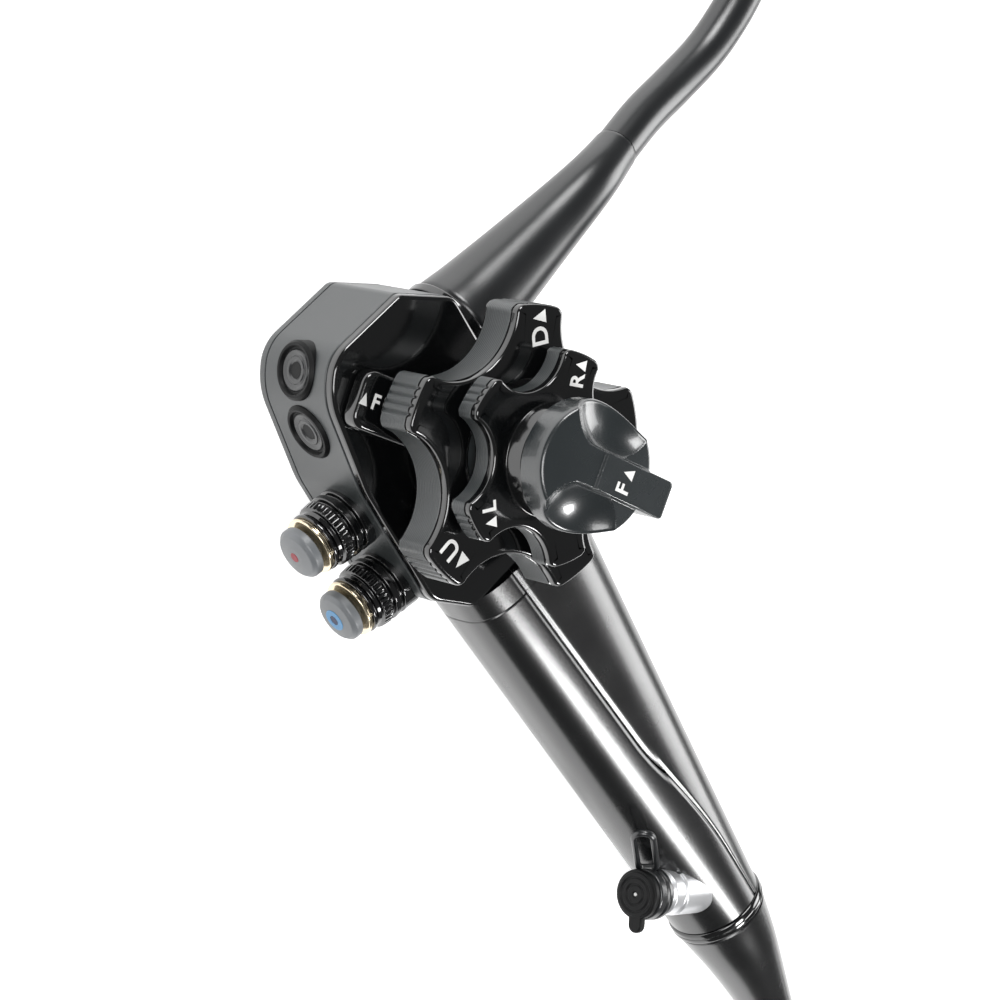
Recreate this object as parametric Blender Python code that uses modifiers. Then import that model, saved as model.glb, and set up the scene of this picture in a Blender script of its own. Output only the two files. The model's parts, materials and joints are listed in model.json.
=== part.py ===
"""Flexible video endoscope: control section, insertion tube and universal cord.

Metres, +Z up. The control section lies on its back cover with the control wheels on top.
The origin is on the resting face, under the wheels' axis. +Z is that axis, +Y runs from the
grip to the head, -X is the side of the valves, and the universal cord leaves towards +X.
"""
import math

import bmesh
import bpy
from mathutils import Matrix, Vector

MM = 0.001
CLEAR = 0.3 * MM            # gap between pieces that touch or run on each other
STEP_ANGLE = 18.0           # degrees between the points of an arc
CUT_PAST = 6.0 * MM         # how far a cutter reaches out of the face it cuts

# Head of the control section
HEAD_DEPTH = 27.0 * MM
COVER_PLATE = 2.4 * MM
HEAD_WALL = 2.2 * MM
HEAD_EDGE = 0.8 * MM
VALVE_WALL_X = -27.9 * MM
SWITCH_WALL_TURN = 10.0     # degrees that the switch wall leans from the valve wall
BUTTON_WALL_TURN = 41.0     # degrees of the corner wall that carries switch 1
HEAD_TOP_Y = 38.6 * MM
CORD_WALL_X = 14.5 * MM
NECK_Y = -31.0 * MM
NECK_HOLE_R = 9.8 * MM
NECK_HOLE_Z = 13.5 * MM
VALVE_HOLE_DEPTH = 9.0 * MM
SWITCH_HOLE_DEPTH = 5.0 * MM
CHASSIS_THICK = 1.6 * MM

# Control wheels and locks, stacked on one axis
POST_R = 2.4 * MM
RL_SHAFT_WALL = 1.2 * MM
UD_SHAFT_WALL = 1.4 * MM
LEVER_HEIGHT = 4.2 * MM
LEVER_HUB_R = 17.0 * MM
LEVER_REACH = 36.0 * MM
LEVER_FINGER_WIDTH = 13.0 * MM
LEVER_ANGLE = 123.0
UD_R = 32.0 * MM
UD_WAIST_R = 21.5 * MM
UD_LOBE_WIDTH = 13.0 * MM
UD_THICK = 11.6 * MM
UD_FLOOR_GAP = 2.4 * MM
UD_DISH_R = 16.5 * MM
UD_DISH_DEPTH = 2.5 * MM
UD_ANGLE = 119.5
UD_SHAFT_DROP = 3.0 * MM    # from the wheel's top down to its shaft's end
RL_R = 23.5 * MM
RL_WAIST_R = 15.5 * MM
RL_LOBE_WIDTH = 10.5 * MM
RL_THICK = 7.0 * MM
RL_GAP = 1.6 * MM
RL_HUB_R = 11.0 * MM
RL_HUB_HEIGHT = 4.5 * MM
RL_HUB_FLARE = 1.5 * MM
RL_HUB_ROUND = 2.0 * MM
RL_ANGLE = 104.5
WHEEL_LOBES = 5
WHEEL_EDGE = 1.0 * MM
LOBE_CORNER = 2.0 * MM
KNOB_R = 14.2 * MM
KNOB_HEIGHT = 11.0 * MM
KNOB_FOOT = 3.0 * MM        # height and width of the slope under the knob
KNOB_FOOT_IN = 2.2 * MM
KNOB_ROUND = 1.6 * MM
KNOB_BAR_WIDTH = 8.4 * MM
KNOB_BAR_REACH = 20.5 * MM
KNOB_BAR_HEIGHT = 8.0 * MM
KNOB_BAR_RISE = 0.6 * MM
KNOB_BAR_EDGE = 0.8 * MM
KNOB_SCOOP_R = 9.5 * MM
KNOB_SCOOP_DEPTH = 5.0 * MM
KNOB_BAR_ANGLE = -60.0
DRUM_R = 7.5 * MM
DRUM_THICK = 3.6 * MM
DRUM_FLANGE = 0.8 * MM
DRUM_GROOVE = 1.2 * MM
DRUM_APART = 2.0 * MM

# Valves on the left wall
VALVE_Z = 14.0 * MM
SUCTION_Y = 0.4 * MM
VALVE_PITCH = 18.4 * MM
VALVE_TILT = 8.0            # degrees from -X towards the head
CYLINDER_R = 5.0 * MM
CYLINDER_BORE_R = 3.4 * MM
CYLINDER_INSIDE = 12.0 * MM
CYLINDER_FLOOR = 1.6 * MM
COLLAR_R = 7.6 * MM
COLLAR_TOP = 9.2 * MM
COLLAR_SEAT = 2.0 * MM      # length of the collar inside the wall
COLLAR_EDGE = 0.6 * MM
COLLAR_BAND = 2.0 * MM      # from the collar's top to its groove
GRIP_GROOVE = 0.7 * MM
VALVE_RING_R = 7.0 * MM
VALVE_RING_HEIGHT = 2.6 * MM
VALVE_RING_EDGE = 0.4 * MM
CAP_R = 5.9 * MM
CAP_THICK = 3.2 * MM
CAP_EDGE = 0.8 * MM
CAP_FACE = 16.4 * MM
VALVE_TRAVEL = 3.2 * MM
STEM_ROOM = VALVE_TRAVEL + 1.2 * MM

# Remote switches
BUTTON_R = 4.7 * MM
BEZEL_R = 6.5 * MM
BEZEL_HEIGHT = 0.9 * MM
BUTTON_HEIGHT = 0.6 * MM
BUTTON_TRAVEL = 0.8 * MM
BUTTON_DEPTH = 2.6 * MM
BUTTON_DISH = 0.5 * MM
BUTTON_EDGE = 0.6 * MM
SWITCH_Z = 14.0 * MM

# Grip
GRIP_Z = 15.0 * MM
GRIP_TOP_A = 20.0 * MM      # half width at the head
GRIP_TOP_B = 13.0 * MM      # half depth at the head
GRIP_END_R = 11.6 * MM
GRIP_END_Y = -147.0 * MM
GRIP_WALL = 2.2 * MM
GRIP_STATIONS = 9
SEAM_TOP_X = -4.0 * MM
SEAM_END_X = 1.5 * MM
END_RING_WIDTH = 3.0 * MM
END_RING_PROUD = 0.4 * MM
END_RING_EDGE = 0.4 * MM

# Instrument channel port
PORT_FROM = Vector((-1.0, -141.0, 19.0)) * MM
PORT_AXIS = Vector((-0.70, 0.69, 0.19)).normalized()
PORT_SIDE = Vector((0.62, 0.72, -0.10))
PORT_R = 5.6 * MM
PORT_BORE_R = 1.5 * MM
PORT_START = 3.0 * MM
PORT_LENGTH = 22.5 * MM
PORT_LIP = 0.9 * MM         # depth and height of the step below the port's mouth
PORT_LIP_HEIGHT = 1.6 * MM
PORT_SLOPE = 0.6 * MM
VALVE_BODY_R = 6.2 * MM
VALVE_BODY_HEIGHT = 4.6 * MM
VALVE_BODY_EDGE = 0.6 * MM
BODY_GROOVE = 0.9 * MM      # depth of the valve body's groove, and the height of its middle
BODY_GROOVE_MID = 2.0 * MM
LID_R = 5.8 * MM
LID_THICK = 2.0 * MM
LID_EDGE = 0.5 * MM
LID_TAB = 3.2 * MM
LID_TAB_WIDTH = 3.8 * MM
LID_HOLE_R = 0.7 * MM
STRAP_REACH = 13.5 * MM
STRAP_WIDTH = 6.0 * MM
STRAP_RIM = 1.5 * MM
STRAP_THICK = 1.8 * MM
STRAP_DROP = 2.6 * MM        # from the port's mouth to the strap's root, along the port
STRAP_GAP = 1.5 * MM
STRAP_AXIS = Vector((0.06, 0.92, 0.39)).normalized()
STRAP_NORMAL = Vector((-0.8, -0.1, 0.6))

# Insertion tube, its boot and its coil
INSERTION_D = 9.8 * MM
INSERTION_BOOT_TIP_R = 6.0 * MM
BOOT_SPACING = 3.4 * MM
TUBE_SPACING = 9.0 * MM
COIL_STEP_ANGLE = 9.0       # degrees
COIL_CENTRE = (174.0, -215.7)  # mm; both coils, the insertion tube's below and the cord's on it
COIL_INNER_R = 46.8
COIL_OUTER_R = 57.2
INSERTION_LAYERS = (4.95, 15.1)
INSERTION_TURN_R = 69.0
INSERTION_RUN = [(0.0, -190.3, 10.4), (0.0, -195.0, 9.7), (0.0, -200.6, 8.8)]
INSERTION_TURN = [(13.0, 7.2), (26.0, 6.0), (40.0, 5.3), (55.0, 5.0), (70.0, 4.95), (86.0, 4.95)]  # degrees, mm
INSERTION_APPROACH = [(95.0, -269.6, 4.95), (120.0, -267.6, 4.95), (146.0, -265.0, 4.95)]
# Stations of the coil: angle, column (0 inner, 1 outer), layer
INSERTION_COIL = [(-90, 0, 0), (125, 0, 0), (215, 0, 1), (395, 0, 1), (485, 1, 1), (628, 1, 1), (708, 1, 0),
                  (720, 1, 0)]
INSERTION_EXIT = [(231.2, -205.0, 5.0), (231.2, -192.3, 5.1)]

BEND_START = Vector((231.2, -192.0, 5.1)) * MM
BEND_COLLAR = 4.6 * MM
BEND_R = 4.6 * MM
BEND_BORE_R = 3.2 * MM
BEND_PITCH = 7.5 * MM
BEND_JOINTS = 10
UD_LINK_HALF = (9.4, 21.6)  # degrees of each roof's slopes, down side and up side (+X)
RL_LINK_HALF = (10.4, 10.4)
TIP_LENGTH = 12.0 * MM
TIP_R = 4.9 * MM
LENS_R = 1.3 * MM
LIGHT_LENS_R = 0.9 * MM
OUTLET_R = 1.4 * MM
LENS_SEAT = 1.6 * MM        # depth of the holes in the tip's face
LENS_THICK = 1.2 * MM
TIP_SPOTS = {"objective_lens": (-1.2, 1.6, LENS_R), "light_lens_left": (-2.9, -0.9, LIGHT_LENS_R),
             "light_lens_right": (1.9, 2.4, LIGHT_LENS_R), "channel_outlet": (1.0, -1.9, OUTLET_R)}

# Universal cord, its boot, coil and connector
CORD_D = 10.0 * MM
CORD_Y = 17.0 * MM
CORD_Z = 14.0 * MM
CORD_COLLAR_R = 12.0 * MM
CORD_COLLAR_WIDTH = 2.4 * MM
CORD_HOLE_R = 7.0 * MM
CORD_BOOT_R = 11.3 * MM
CORD_BOOT_TIP_R = 5.7 * MM
CORD_RUN = [(78.0, 18.6, 11.8), (90.0, 18.4, 9.2), (103.0, 17.2, 6.8), (116.0, 17.0, 5.4),
            (128.0, 19.5, 5.15), (143.5, 24.8, 5.1)]
CORD_BEND = (170.0, -22.5, 49.5)  # centre and radius of the bend beside the head
CORD_BEND_ANGLES = (100, 78, 56, 34, 12, -10, -32)
CORD_APPROACH = [(200.0, -67.5, 5.6), (184.0, -93.0, 8.5), (168.0, -118.5, 15.0), (152.0, -144.0, 22.5),
                 (140.5, -162.3, 25.3)]
CORD_LAYERS = (25.4, 35.8)
CORD_COIL = [(148, 1, 0), (380, 1, 0), (470, 0, 0), (650, 0, 0), (740, 0, 1), (915, 0, 1), (1005, 1, 1),
             (1255, 1, 1)]
CORD_LEAVE = (116.9, -223.0, 36.1)
CORD_LAST_TURN = (163.5, -236.0, 45.0)  # centre and radius of the turn that lies on the coil
CORD_LAST_HEIGHTS = (36.8, 38.4, 41.0, 44.5, 48.5, 52.3, 55.6, 58.0, 59.5, 60.0)
CORD_STOP = (208.5, -232.0, 60.0)
CONNECTOR_FROM = Vector((208.5, -231.7, 60.0)) * MM
CONNECTOR_R = 19.0 * MM
CONNECTOR_BOOT = 24.0 * MM
CONNECTOR_BOOT_R = 10.0 * MM
CONNECTOR_BODY = 46.0 * MM
CONNECTOR_FACE = 0.8        # share of the body's radius at its front face
CONNECTOR_NOSE = 8.0 * MM   # length of the narrower front
CONNECTOR_BACK = 12.0 * MM  # length of the sloping back
GUIDE_PIN_R = 5.0 * MM
GUIDE_PIN_LENGTH = 28.0 * MM
AIR_PIPE_R = 2.4 * MM
AIR_PIPE_LENGTH = 14.0 * MM
PIN_UP = Vector((0.0, 0.0, 3.5)) * MM
AIR_PIPE_DOWN = Vector((0.0, 0.0, -4.9)) * MM

# Pipes and light guide inside the control section
PIPE_R = 1.5 * MM
WATER_PIPE_R = 1.2 * MM
BUNDLE_R = 1.6 * MM
PIPE_LEAD = 2.0 * MM        # straight length of a pipe behind its valve's cylinder
PIPE_SPACING = 8.0 * MM
SUCTION_ROUTE = [(-12.2, -5.0, 14.4), (-10.6, -12.0, 14.6), (-8.4, -22.0, 14.6), (-7.3, -31.0, 14.5),
                 (-7.0, -60.0, 14.0), (-6.0, -100.0, 13.4), (-4.6, -126.0, 12.0)]  # mm
WATER_ROUTE = [(-11.6, -22.6, 12.6), (-8.6, -27.0, 10.0), (-5.5, -31.0, 9.0), (-4.0, -60.0, 8.6),
               (-2.0, -100.0, 8.6)]
BUNDLE_ROUTE = [(14.5, 17.0, 14.0), (10.6, 11.0, 17.4), (9.2, 0.0, 19.6), (8.2, -16.0, 18.0),
                (6.4, -31.0, 16.2), (5.6, -60.0, 15.6), (5.0, -90.0, 15.0)]

# Heights that follow from the sizes above
WALL_Z0 = COVER_PLATE + CLEAR
WALL_Z1 = HEAD_DEPTH - COVER_PLATE - CLEAR
LEVER_Z0 = HEAD_DEPTH + CLEAR
LEVER_Z1 = LEVER_Z0 + LEVER_HEIGHT
UD_Z0 = LEVER_Z1 + UD_FLOOR_GAP
UD_Z1 = UD_Z0 + UD_THICK
RL_Z0 = UD_Z1 + RL_GAP
RL_Z1 = RL_Z0 + RL_THICK
RL_HUB_Z = RL_Z1 + RL_HUB_HEIGHT
KNOB_Z0 = RL_HUB_Z + CLEAR
KNOB_Z1 = KNOB_Z0 + KNOB_HEIGHT
POST_TOP = KNOB_Z1 - KNOB_BAR_HEIGHT - 2 * CLEAR
RL_SHAFT_R = POST_R + CLEAR + RL_SHAFT_WALL
UD_SHAFT_R = RL_SHAFT_R + CLEAR + UD_SHAFT_WALL
CHASSIS_Z1 = WALL_Z0 + CHASSIS_THICK
RL_DRUM_Z0 = CHASSIS_Z1 + CLEAR
UD_DRUM_Z0 = RL_DRUM_Z0 + DRUM_THICK + DRUM_APART
RING_Y0 = GRIP_END_Y - CLEAR
BOOT_Y0 = RING_Y0 - END_RING_WIDTH - CLEAR
ZAXIS = Vector((0.0, 0.0, 1.0))


# Scene and materials

def clear_scene():
    """Remove every object, so that the script starts from an empty scene."""
    for old in list(bpy.data.objects):
        bpy.data.objects.remove(old, do_unlink=True)


def make_material(name, colour, roughness, metallic=0.0):
    """Principled material with one colour, roughness and metallic value."""
    material = bpy.data.materials.new(name)
    material.use_nodes = True
    shader = material.node_tree.nodes["Principled BSDF"]
    shader.inputs["Base Color"].default_value = (*colour, 1.0)
    shader.inputs["Roughness"].default_value = roughness
    shader.inputs["Metallic"].default_value = metallic
    material.diffuse_color = (*colour, 1.0)
    return material


clear_scene()
PARTS = bpy.data.collections.new("flexible_endoscope")
CUTTERS = bpy.data.collections.new("flexible_endoscope_cutters")
bpy.context.scene.collection.children.link(PARTS)
bpy.context.scene.collection.children.link(CUTTERS)
BLACK = make_material("moulded black plastic", (0.030, 0.033, 0.036), 0.42)
GLOSS = make_material("glossy black plastic", (0.012, 0.013, 0.014), 0.12)
RUBBER = make_material("black rubber", (0.028, 0.030, 0.032), 0.62)
STEEL = make_material("stainless steel", (0.62, 0.62, 0.63), 0.22, 1.0)
BRASS = make_material("gilt valve ring", (0.72, 0.62, 0.45), 0.25, 1.0)
GLASS = make_material("lens glass", (0.10, 0.12, 0.16), 0.05)


# Shapes

def put(name, mesh, material, at=(0, 0, 0), parent=None, smooth=40.0):
    """Make an object of a mesh, with its origin at a world point, under a parent piece."""
    piece = bpy.data.objects.new(name, mesh)
    piece.location = at if parent is None else Vector(at) - parent.matrix_world.translation
    piece.parent = parent
    PARTS.objects.link(piece)
    mesh.materials.append(material)
    mesh.shade_smooth()
    mesh.set_sharp_from_angle(angle=math.radians(smooth))
    bpy.context.view_layer.update()
    return piece


def mesh_of(name, rings, closed_ends=True):
    """Loft between rings of equally many points, with a flat cap on each end."""
    made = bmesh.new()
    rows = [[made.verts.new(point) for point in ring] for ring in rings]
    count = len(rows[0])
    for low, high in zip(rows, rows[1:]):
        for i in range(count):
            j = (i + 1) % count
            made.faces.new((low[i], low[j], high[j], high[i]))
    if closed_ends:
        made.faces.new(rows[0][::-1])
        made.faces.new(rows[-1])
    bmesh.ops.recalc_face_normals(made, faces=made.faces)
    mesh = bpy.data.meshes.new(name)
    made.to_mesh(mesh)
    made.free()
    return mesh


def arc(centre, radius, start, stop, step=STEP_ANGLE):
    """Points of an arc in the XY plane, from one angle to another, in degrees."""
    steps = max(2, round(abs(stop - start) / step))
    angles = [math.radians(start + (stop - start) * i / steps) for i in range(steps + 1)]
    return [(centre[0] + radius * math.cos(a), centre[1] + radius * math.sin(a)) for a in angles]


def rounded(corners, step=STEP_ANGLE):
    """Outline through (x, y, radius) corners, each corner turned into an arc."""
    outline = []
    for i, (x, y, radius) in enumerate(corners):
        here = Vector((x, y))
        before = (Vector(corners[i - 1][:2]) - here).normalized()
        after = (Vector(corners[(i + 1) % len(corners)][:2]) - here).normalized()
        half = before.angle(after) / 2
        centre = here + (before + after).normalized() * radius / math.sin(half)
        reach = radius / math.tan(half)
        start = here + before * reach - centre
        turn = start.angle_signed(here + after * reach - centre)
        steps = max(1, round(math.degrees(abs(turn)) / step))
        for k in range(steps + 1):
            spoke = start.copy()
            spoke.rotate(Matrix.Rotation(-turn * k / steps, 2))
            outline.append((centre + spoke)[:])
    return outline


def inset(outline, amount):
    """Outline moved inwards by a wall's thickness, point by point along its corner bisector."""
    moved = []
    for i, point in enumerate(outline):
        here = Vector(point)
        into = (here - Vector(outline[i - 1])).normalized()
        out = (Vector(outline[(i + 1) % len(outline)]) - here).normalized()
        along = (into + out).normalized()
        normal = Vector((-along.y, along.x))
        moved.append((here + normal * amount / max(0.5, along.dot(out)))[:])
    return moved


def plate(name, loops, z0, z1, material, edge=0.0, at=(0, 0, 0), parent=None):
    """Flat piece between two heights from a 2D curve: one outline and its holes."""
    curve = bpy.data.curves.new(name, "CURVE")
    curve.dimensions = "2D"
    curve.fill_mode = "BOTH"
    curve.extrude = (z1 - z0) / 2
    for loop in loops:
        spline = curve.splines.new("POLY")
        spline.points.add(len(loop) - 1)
        for point, (x, y) in zip(spline.points, loop):
            point.co = (x - at[0], y - at[1], 0.0, 1.0)
        spline.use_cyclic_u = True
    drawn = bpy.data.objects.new(name + "_outline", curve)
    PARTS.objects.link(drawn)
    bpy.context.view_layer.update()
    mesh = bpy.data.meshes.new_from_object(drawn.evaluated_get(bpy.context.evaluated_depsgraph_get()))
    bpy.data.objects.remove(drawn, do_unlink=True)
    mesh.transform(Matrix.Translation((0, 0, (z0 + z1) / 2 - at[2])))
    weld(mesh)
    piece = put(name, mesh, material, at, parent)
    if edge:
        bevel(piece, edge)
    return piece


def weld(mesh):
    """Merge doubled points and turn the faces outwards."""
    made = bmesh.new()
    made.from_mesh(mesh)
    bmesh.ops.remove_doubles(made, verts=made.verts, dist=1e-6)
    bmesh.ops.recalc_face_normals(made, faces=made.faces)
    made.to_mesh(mesh)
    made.free()


def bevel(piece, width, segments=1, angle=55.0):
    """Chamfer or round the sharp edges of a piece."""
    step = piece.modifiers.new("edges", "BEVEL")
    step.width = width
    step.segments = segments
    step.limit_method = "ANGLE"
    step.angle_limit = math.radians(angle)


def turned(name, profile, material, base=(0, 0, 0), axis=ZAXIS, steps=24, at=None, parent=None):
    """Turn a closed profile of (radius, height) pairs about an axis through a base point.

    The profile runs down its outer side first. A piece without a bore starts and ends at radius 0.
    """
    at = Vector(base) if at is None else Vector(at)
    points = list(profile)
    solid = points[0][0] == 0.0
    mesh = bpy.data.meshes.new(name)
    edges = [(i, i + 1) for i in range(len(points) - 1)]
    if not solid:
        edges.append((len(points) - 1, 0))
    mesh.from_pydata([(r, 0.0, z) for r, z in points], edges, [])
    source = bpy.data.objects.new(name + "_profile", mesh)
    PARTS.objects.link(source)
    screw = source.modifiers.new("turn", "SCREW")
    screw.axis = "Z"
    screw.steps = steps
    screw.render_steps = steps
    screw.use_merge_vertices = True
    screw.merge_threshold = 1e-6
    screw.use_smooth_shade = False
    bpy.context.view_layer.update()
    shape = bpy.data.meshes.new_from_object(source.evaluated_get(bpy.context.evaluated_depsgraph_get()))
    bpy.data.objects.remove(source, do_unlink=True)
    turn = ZAXIS.rotation_difference(Vector(axis)).to_matrix().to_4x4()
    shape.transform(Matrix.Translation(Vector(base) - at) @ turn)
    weld(shape)
    return put(name, shape, material, at, parent)


def tube(name, points, radius, material, radii=None, fineness=2, at=(0, 0, 0), parent=None):
    """Round solid tube through points, with filled ends; radii scale it point by point."""
    curve = bpy.data.curves.new(name, "CURVE")
    curve.dimensions = "3D"
    curve.bevel_depth = radius
    curve.bevel_resolution = fineness
    curve.use_fill_caps = True
    spline = curve.splines.new("POLY")
    spline.points.add(len(points) - 1)
    for i, point in enumerate(points):
        spline.points[i].co = (*(Vector(point) - Vector(at)), 1.0)
        spline.points[i].radius = 1.0 if radii is None else radii[i] / radius
    drawn = bpy.data.objects.new(name + "_line", curve)
    PARTS.objects.link(drawn)
    bpy.context.view_layer.update()
    mesh = bpy.data.meshes.new_from_object(drawn.evaluated_get(bpy.context.evaluated_depsgraph_get()))
    bpy.data.objects.remove(drawn, do_unlink=True)
    weld(mesh)
    return put(name, mesh, material, at, parent)


def smooth_route(route, spacing):
    """Even points on a smooth curve (Catmull-Rom) through a route's points, given in mm."""
    knots = [Vector(p) * MM for p in route]
    knots = [knots[0] * 2 - knots[1]] + knots + [knots[-1] * 2 - knots[-2]]
    fine = []
    for a, b, c, d in zip(knots, knots[1:], knots[2:], knots[3:]):
        for k in range(16):
            t = k / 16
            fine.append(0.5 * ((2 * b) + (c - a) * t + (2 * a - 5 * b + 4 * c - d) * t * t
                               + (3 * b - a - 3 * c + d) * t ** 3))
    fine.append(knots[-2])
    length = sum((q - p).length for p, q in zip(fine, fine[1:]))
    count = max(2, round(length / spacing))
    picked = [fine[0]]
    travelled = 0.0
    for p, q in zip(fine, fine[1:]):
        travelled += (q - p).length
        if travelled >= len(picked) * length / count and len(picked) < count:
            picked.append(q)
    return picked + [fine[-1]]


def as_cutter(piece):
    """Move a piece to the cutters' collection and hide it."""
    PARTS.objects.unlink(piece)
    CUTTERS.objects.link(piece)
    piece.hide_render = True
    piece.display_type = "WIRE"
    return piece


def boolean(piece, other, operation="DIFFERENCE"):
    """Cut a piece with a cutter, or join the cutter's shape to it."""
    step = piece.modifiers.new(operation.lower(), "BOOLEAN")
    step.operation = operation
    step.object = as_cutter(other)


def circle(radius, centre=(0.0, 0.0), step=STEP_ANGLE):
    """Closed round outline."""
    return arc(centre, radius, 0.0, 360.0, step)[:-1]


def rod_cutter(name, base, axis, radius, start, stop, steps=16):
    """Round cutter along an axis, between two distances from its base point."""
    profile = [(0.0, stop), (radius, stop), (radius, start), (0.0, start)]
    return turned(name, profile, BLACK, base, axis, steps)


def polar(radius, degrees):
    """Point of the XY plane at a radius and an angle."""
    return Vector((radius * math.cos(math.radians(degrees)), radius * math.sin(math.radians(degrees))))


# Head of the control section

def head_corners():
    """Corners (x, y, radius) of the head's outline, anticlockwise from the neck's right end."""
    lean = math.tan(math.radians(SWITCH_WALL_TURN))
    switch_low = (VALVE_WALL_X, 9.0 * MM)
    switch_high = (VALVE_WALL_X + 22.5 * MM * lean, 31.5 * MM)
    corner_rise = HEAD_TOP_Y - switch_high[1]
    corner_x = switch_high[0] + corner_rise / math.tan(math.radians(90.0 - BUTTON_WALL_TURN))
    return [
        (18.5 * MM, NECK_Y, 3.0 * MM), (19.0 * MM, -22.0 * MM, 6.0 * MM),
        (CORD_WALL_X, -6.0 * MM, 8.0 * MM), (CORD_WALL_X, 29.0 * MM, 4.0 * MM),
        (3.5 * MM, HEAD_TOP_Y, 3.0 * MM), (corner_x, HEAD_TOP_Y, 5.0 * MM),
        (*switch_high, 6.0 * MM), (*switch_low, 20.0 * MM), (VALVE_WALL_X, -22.0 * MM, 6.0 * MM),
        (-20.0 * MM, NECK_Y, 3.0 * MM)]


def valve_frames():
    """Base point and outward axis of the suction valve and of the air/water valve."""
    tilt = math.radians(VALVE_TILT)
    axis = Vector((-math.cos(tilt), math.sin(tilt), 0.0))
    return [(Vector((VALVE_WALL_X, SUCTION_Y - i * VALVE_PITCH, VALVE_Z)), axis) for i in range(2)]


def switch_frames():
    """Base point on the wall and outward axis of switch 1 and of switch 2."""
    corners = head_corners()
    top, high, low = (Vector(corners[i][:2]) for i in (5, 6, 7))
    frames = []
    for near, far, share in ((high, top, 0.56), (low, high, 0.60)):
        along = (far - near).normalized()
        at = near.lerp(far, share)
        frames.append((Vector((at.x, at.y, SWITCH_Z)), Vector((-along.y, along.x, 0.0))))
    return frames


def build_head():
    """Housing wall, back cover, knob-side cover, chassis and post."""
    outline = rounded(head_corners())
    wall = plate("control_housing", [outline, inset(outline, HEAD_WALL)], WALL_Z0, WALL_Z1, BLACK)
    for i, (base, axis) in enumerate(valve_frames()):
        boolean(wall, rod_cutter(f"cut_valve_{i}", base, axis, COLLAR_R + CLEAR, -VALVE_HOLE_DEPTH, CUT_PAST))
    for i, (base, axis) in enumerate(switch_frames()):
        boolean(wall, rod_cutter(f"cut_switch_{i}", base, axis, BEZEL_R + CLEAR, -SWITCH_HOLE_DEPTH,
                                 CUT_PAST))
    boolean(wall, rod_cutter("cut_cord", (CORD_WALL_X, CORD_Y, CORD_Z), (1, 0, 0), CORD_HOLE_R + CLEAR,
                             -SWITCH_HOLE_DEPTH, CUT_PAST / 2))
    boolean(wall, rod_cutter("cut_neck", (0.0, NECK_Y, NECK_HOLE_Z), (0, 1, 0), NECK_HOLE_R,
                             -CUT_PAST / 2, 2 * HEAD_WALL))

    plate("back_cover", [outline], 0.0, COVER_PLATE, BLACK, HEAD_EDGE)
    plate("knob_side_cover", [outline, circle(UD_SHAFT_R + CLEAR)], HEAD_DEPTH - COVER_PLATE, HEAD_DEPTH,
          GLOSS, HEAD_EDGE)
    chassis = plate("chassis_plate", [inset(outline, HEAD_WALL + CLEAR)], WALL_Z0, CHASSIS_Z1, STEEL)
    boolean(chassis, rod_cutter("cut_chassis", (0, 0, 0), (0, 0, 1), POST_R + CLEAR, 0.0, 2 * CHASSIS_Z1))
    turned("central_post", [(0.0, POST_TOP), (POST_R, POST_TOP), (POST_R, WALL_Z0), (0.0, WALL_Z0)], STEEL,
           steps=16)


# Control wheels and locks

def lobed_outline(tip_r, waist_r, lobe_width, angle, corner=LOBE_CORNER):
    """Outline of a wheel with round-cornered lobes and hollow arcs between them."""
    pitch = 360.0 / WHEEL_LOBES
    half = math.degrees(math.asin(lobe_width / 2 / tip_r))
    chord_end = polar(tip_r - corner, pitch / 2 - half)
    chord_half = abs(chord_end.y)
    sagitta = chord_end.x - waist_r
    hollow_r = (chord_half ** 2 + sagitta ** 2) / (2 * sagitta)
    sweep = math.degrees(math.asin(min(1.0, chord_half / hollow_r)))
    outline = []
    for lobe in range(WHEEL_LOBES):
        mid = angle + lobe * pitch
        inner = math.degrees(math.asin((lobe_width / 2 - corner) / (tip_r - corner)))
        side = polar(tip_r - corner, mid - inner)
        outline += arc(side, corner, mid - 90.0, mid - inner, 35.0)
        other = polar(tip_r - corner, mid + inner)
        outline += arc(other, corner, mid + inner, mid + 90.0, 35.0)
        hollow = polar(waist_r + hollow_r, mid + pitch / 2)
        outline += arc(hollow, hollow_r, mid + pitch / 2 + 180.0 + sweep * 0.93,
                       mid + pitch / 2 + 180.0 - sweep * 0.93, 17.0)
    return outline


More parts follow.
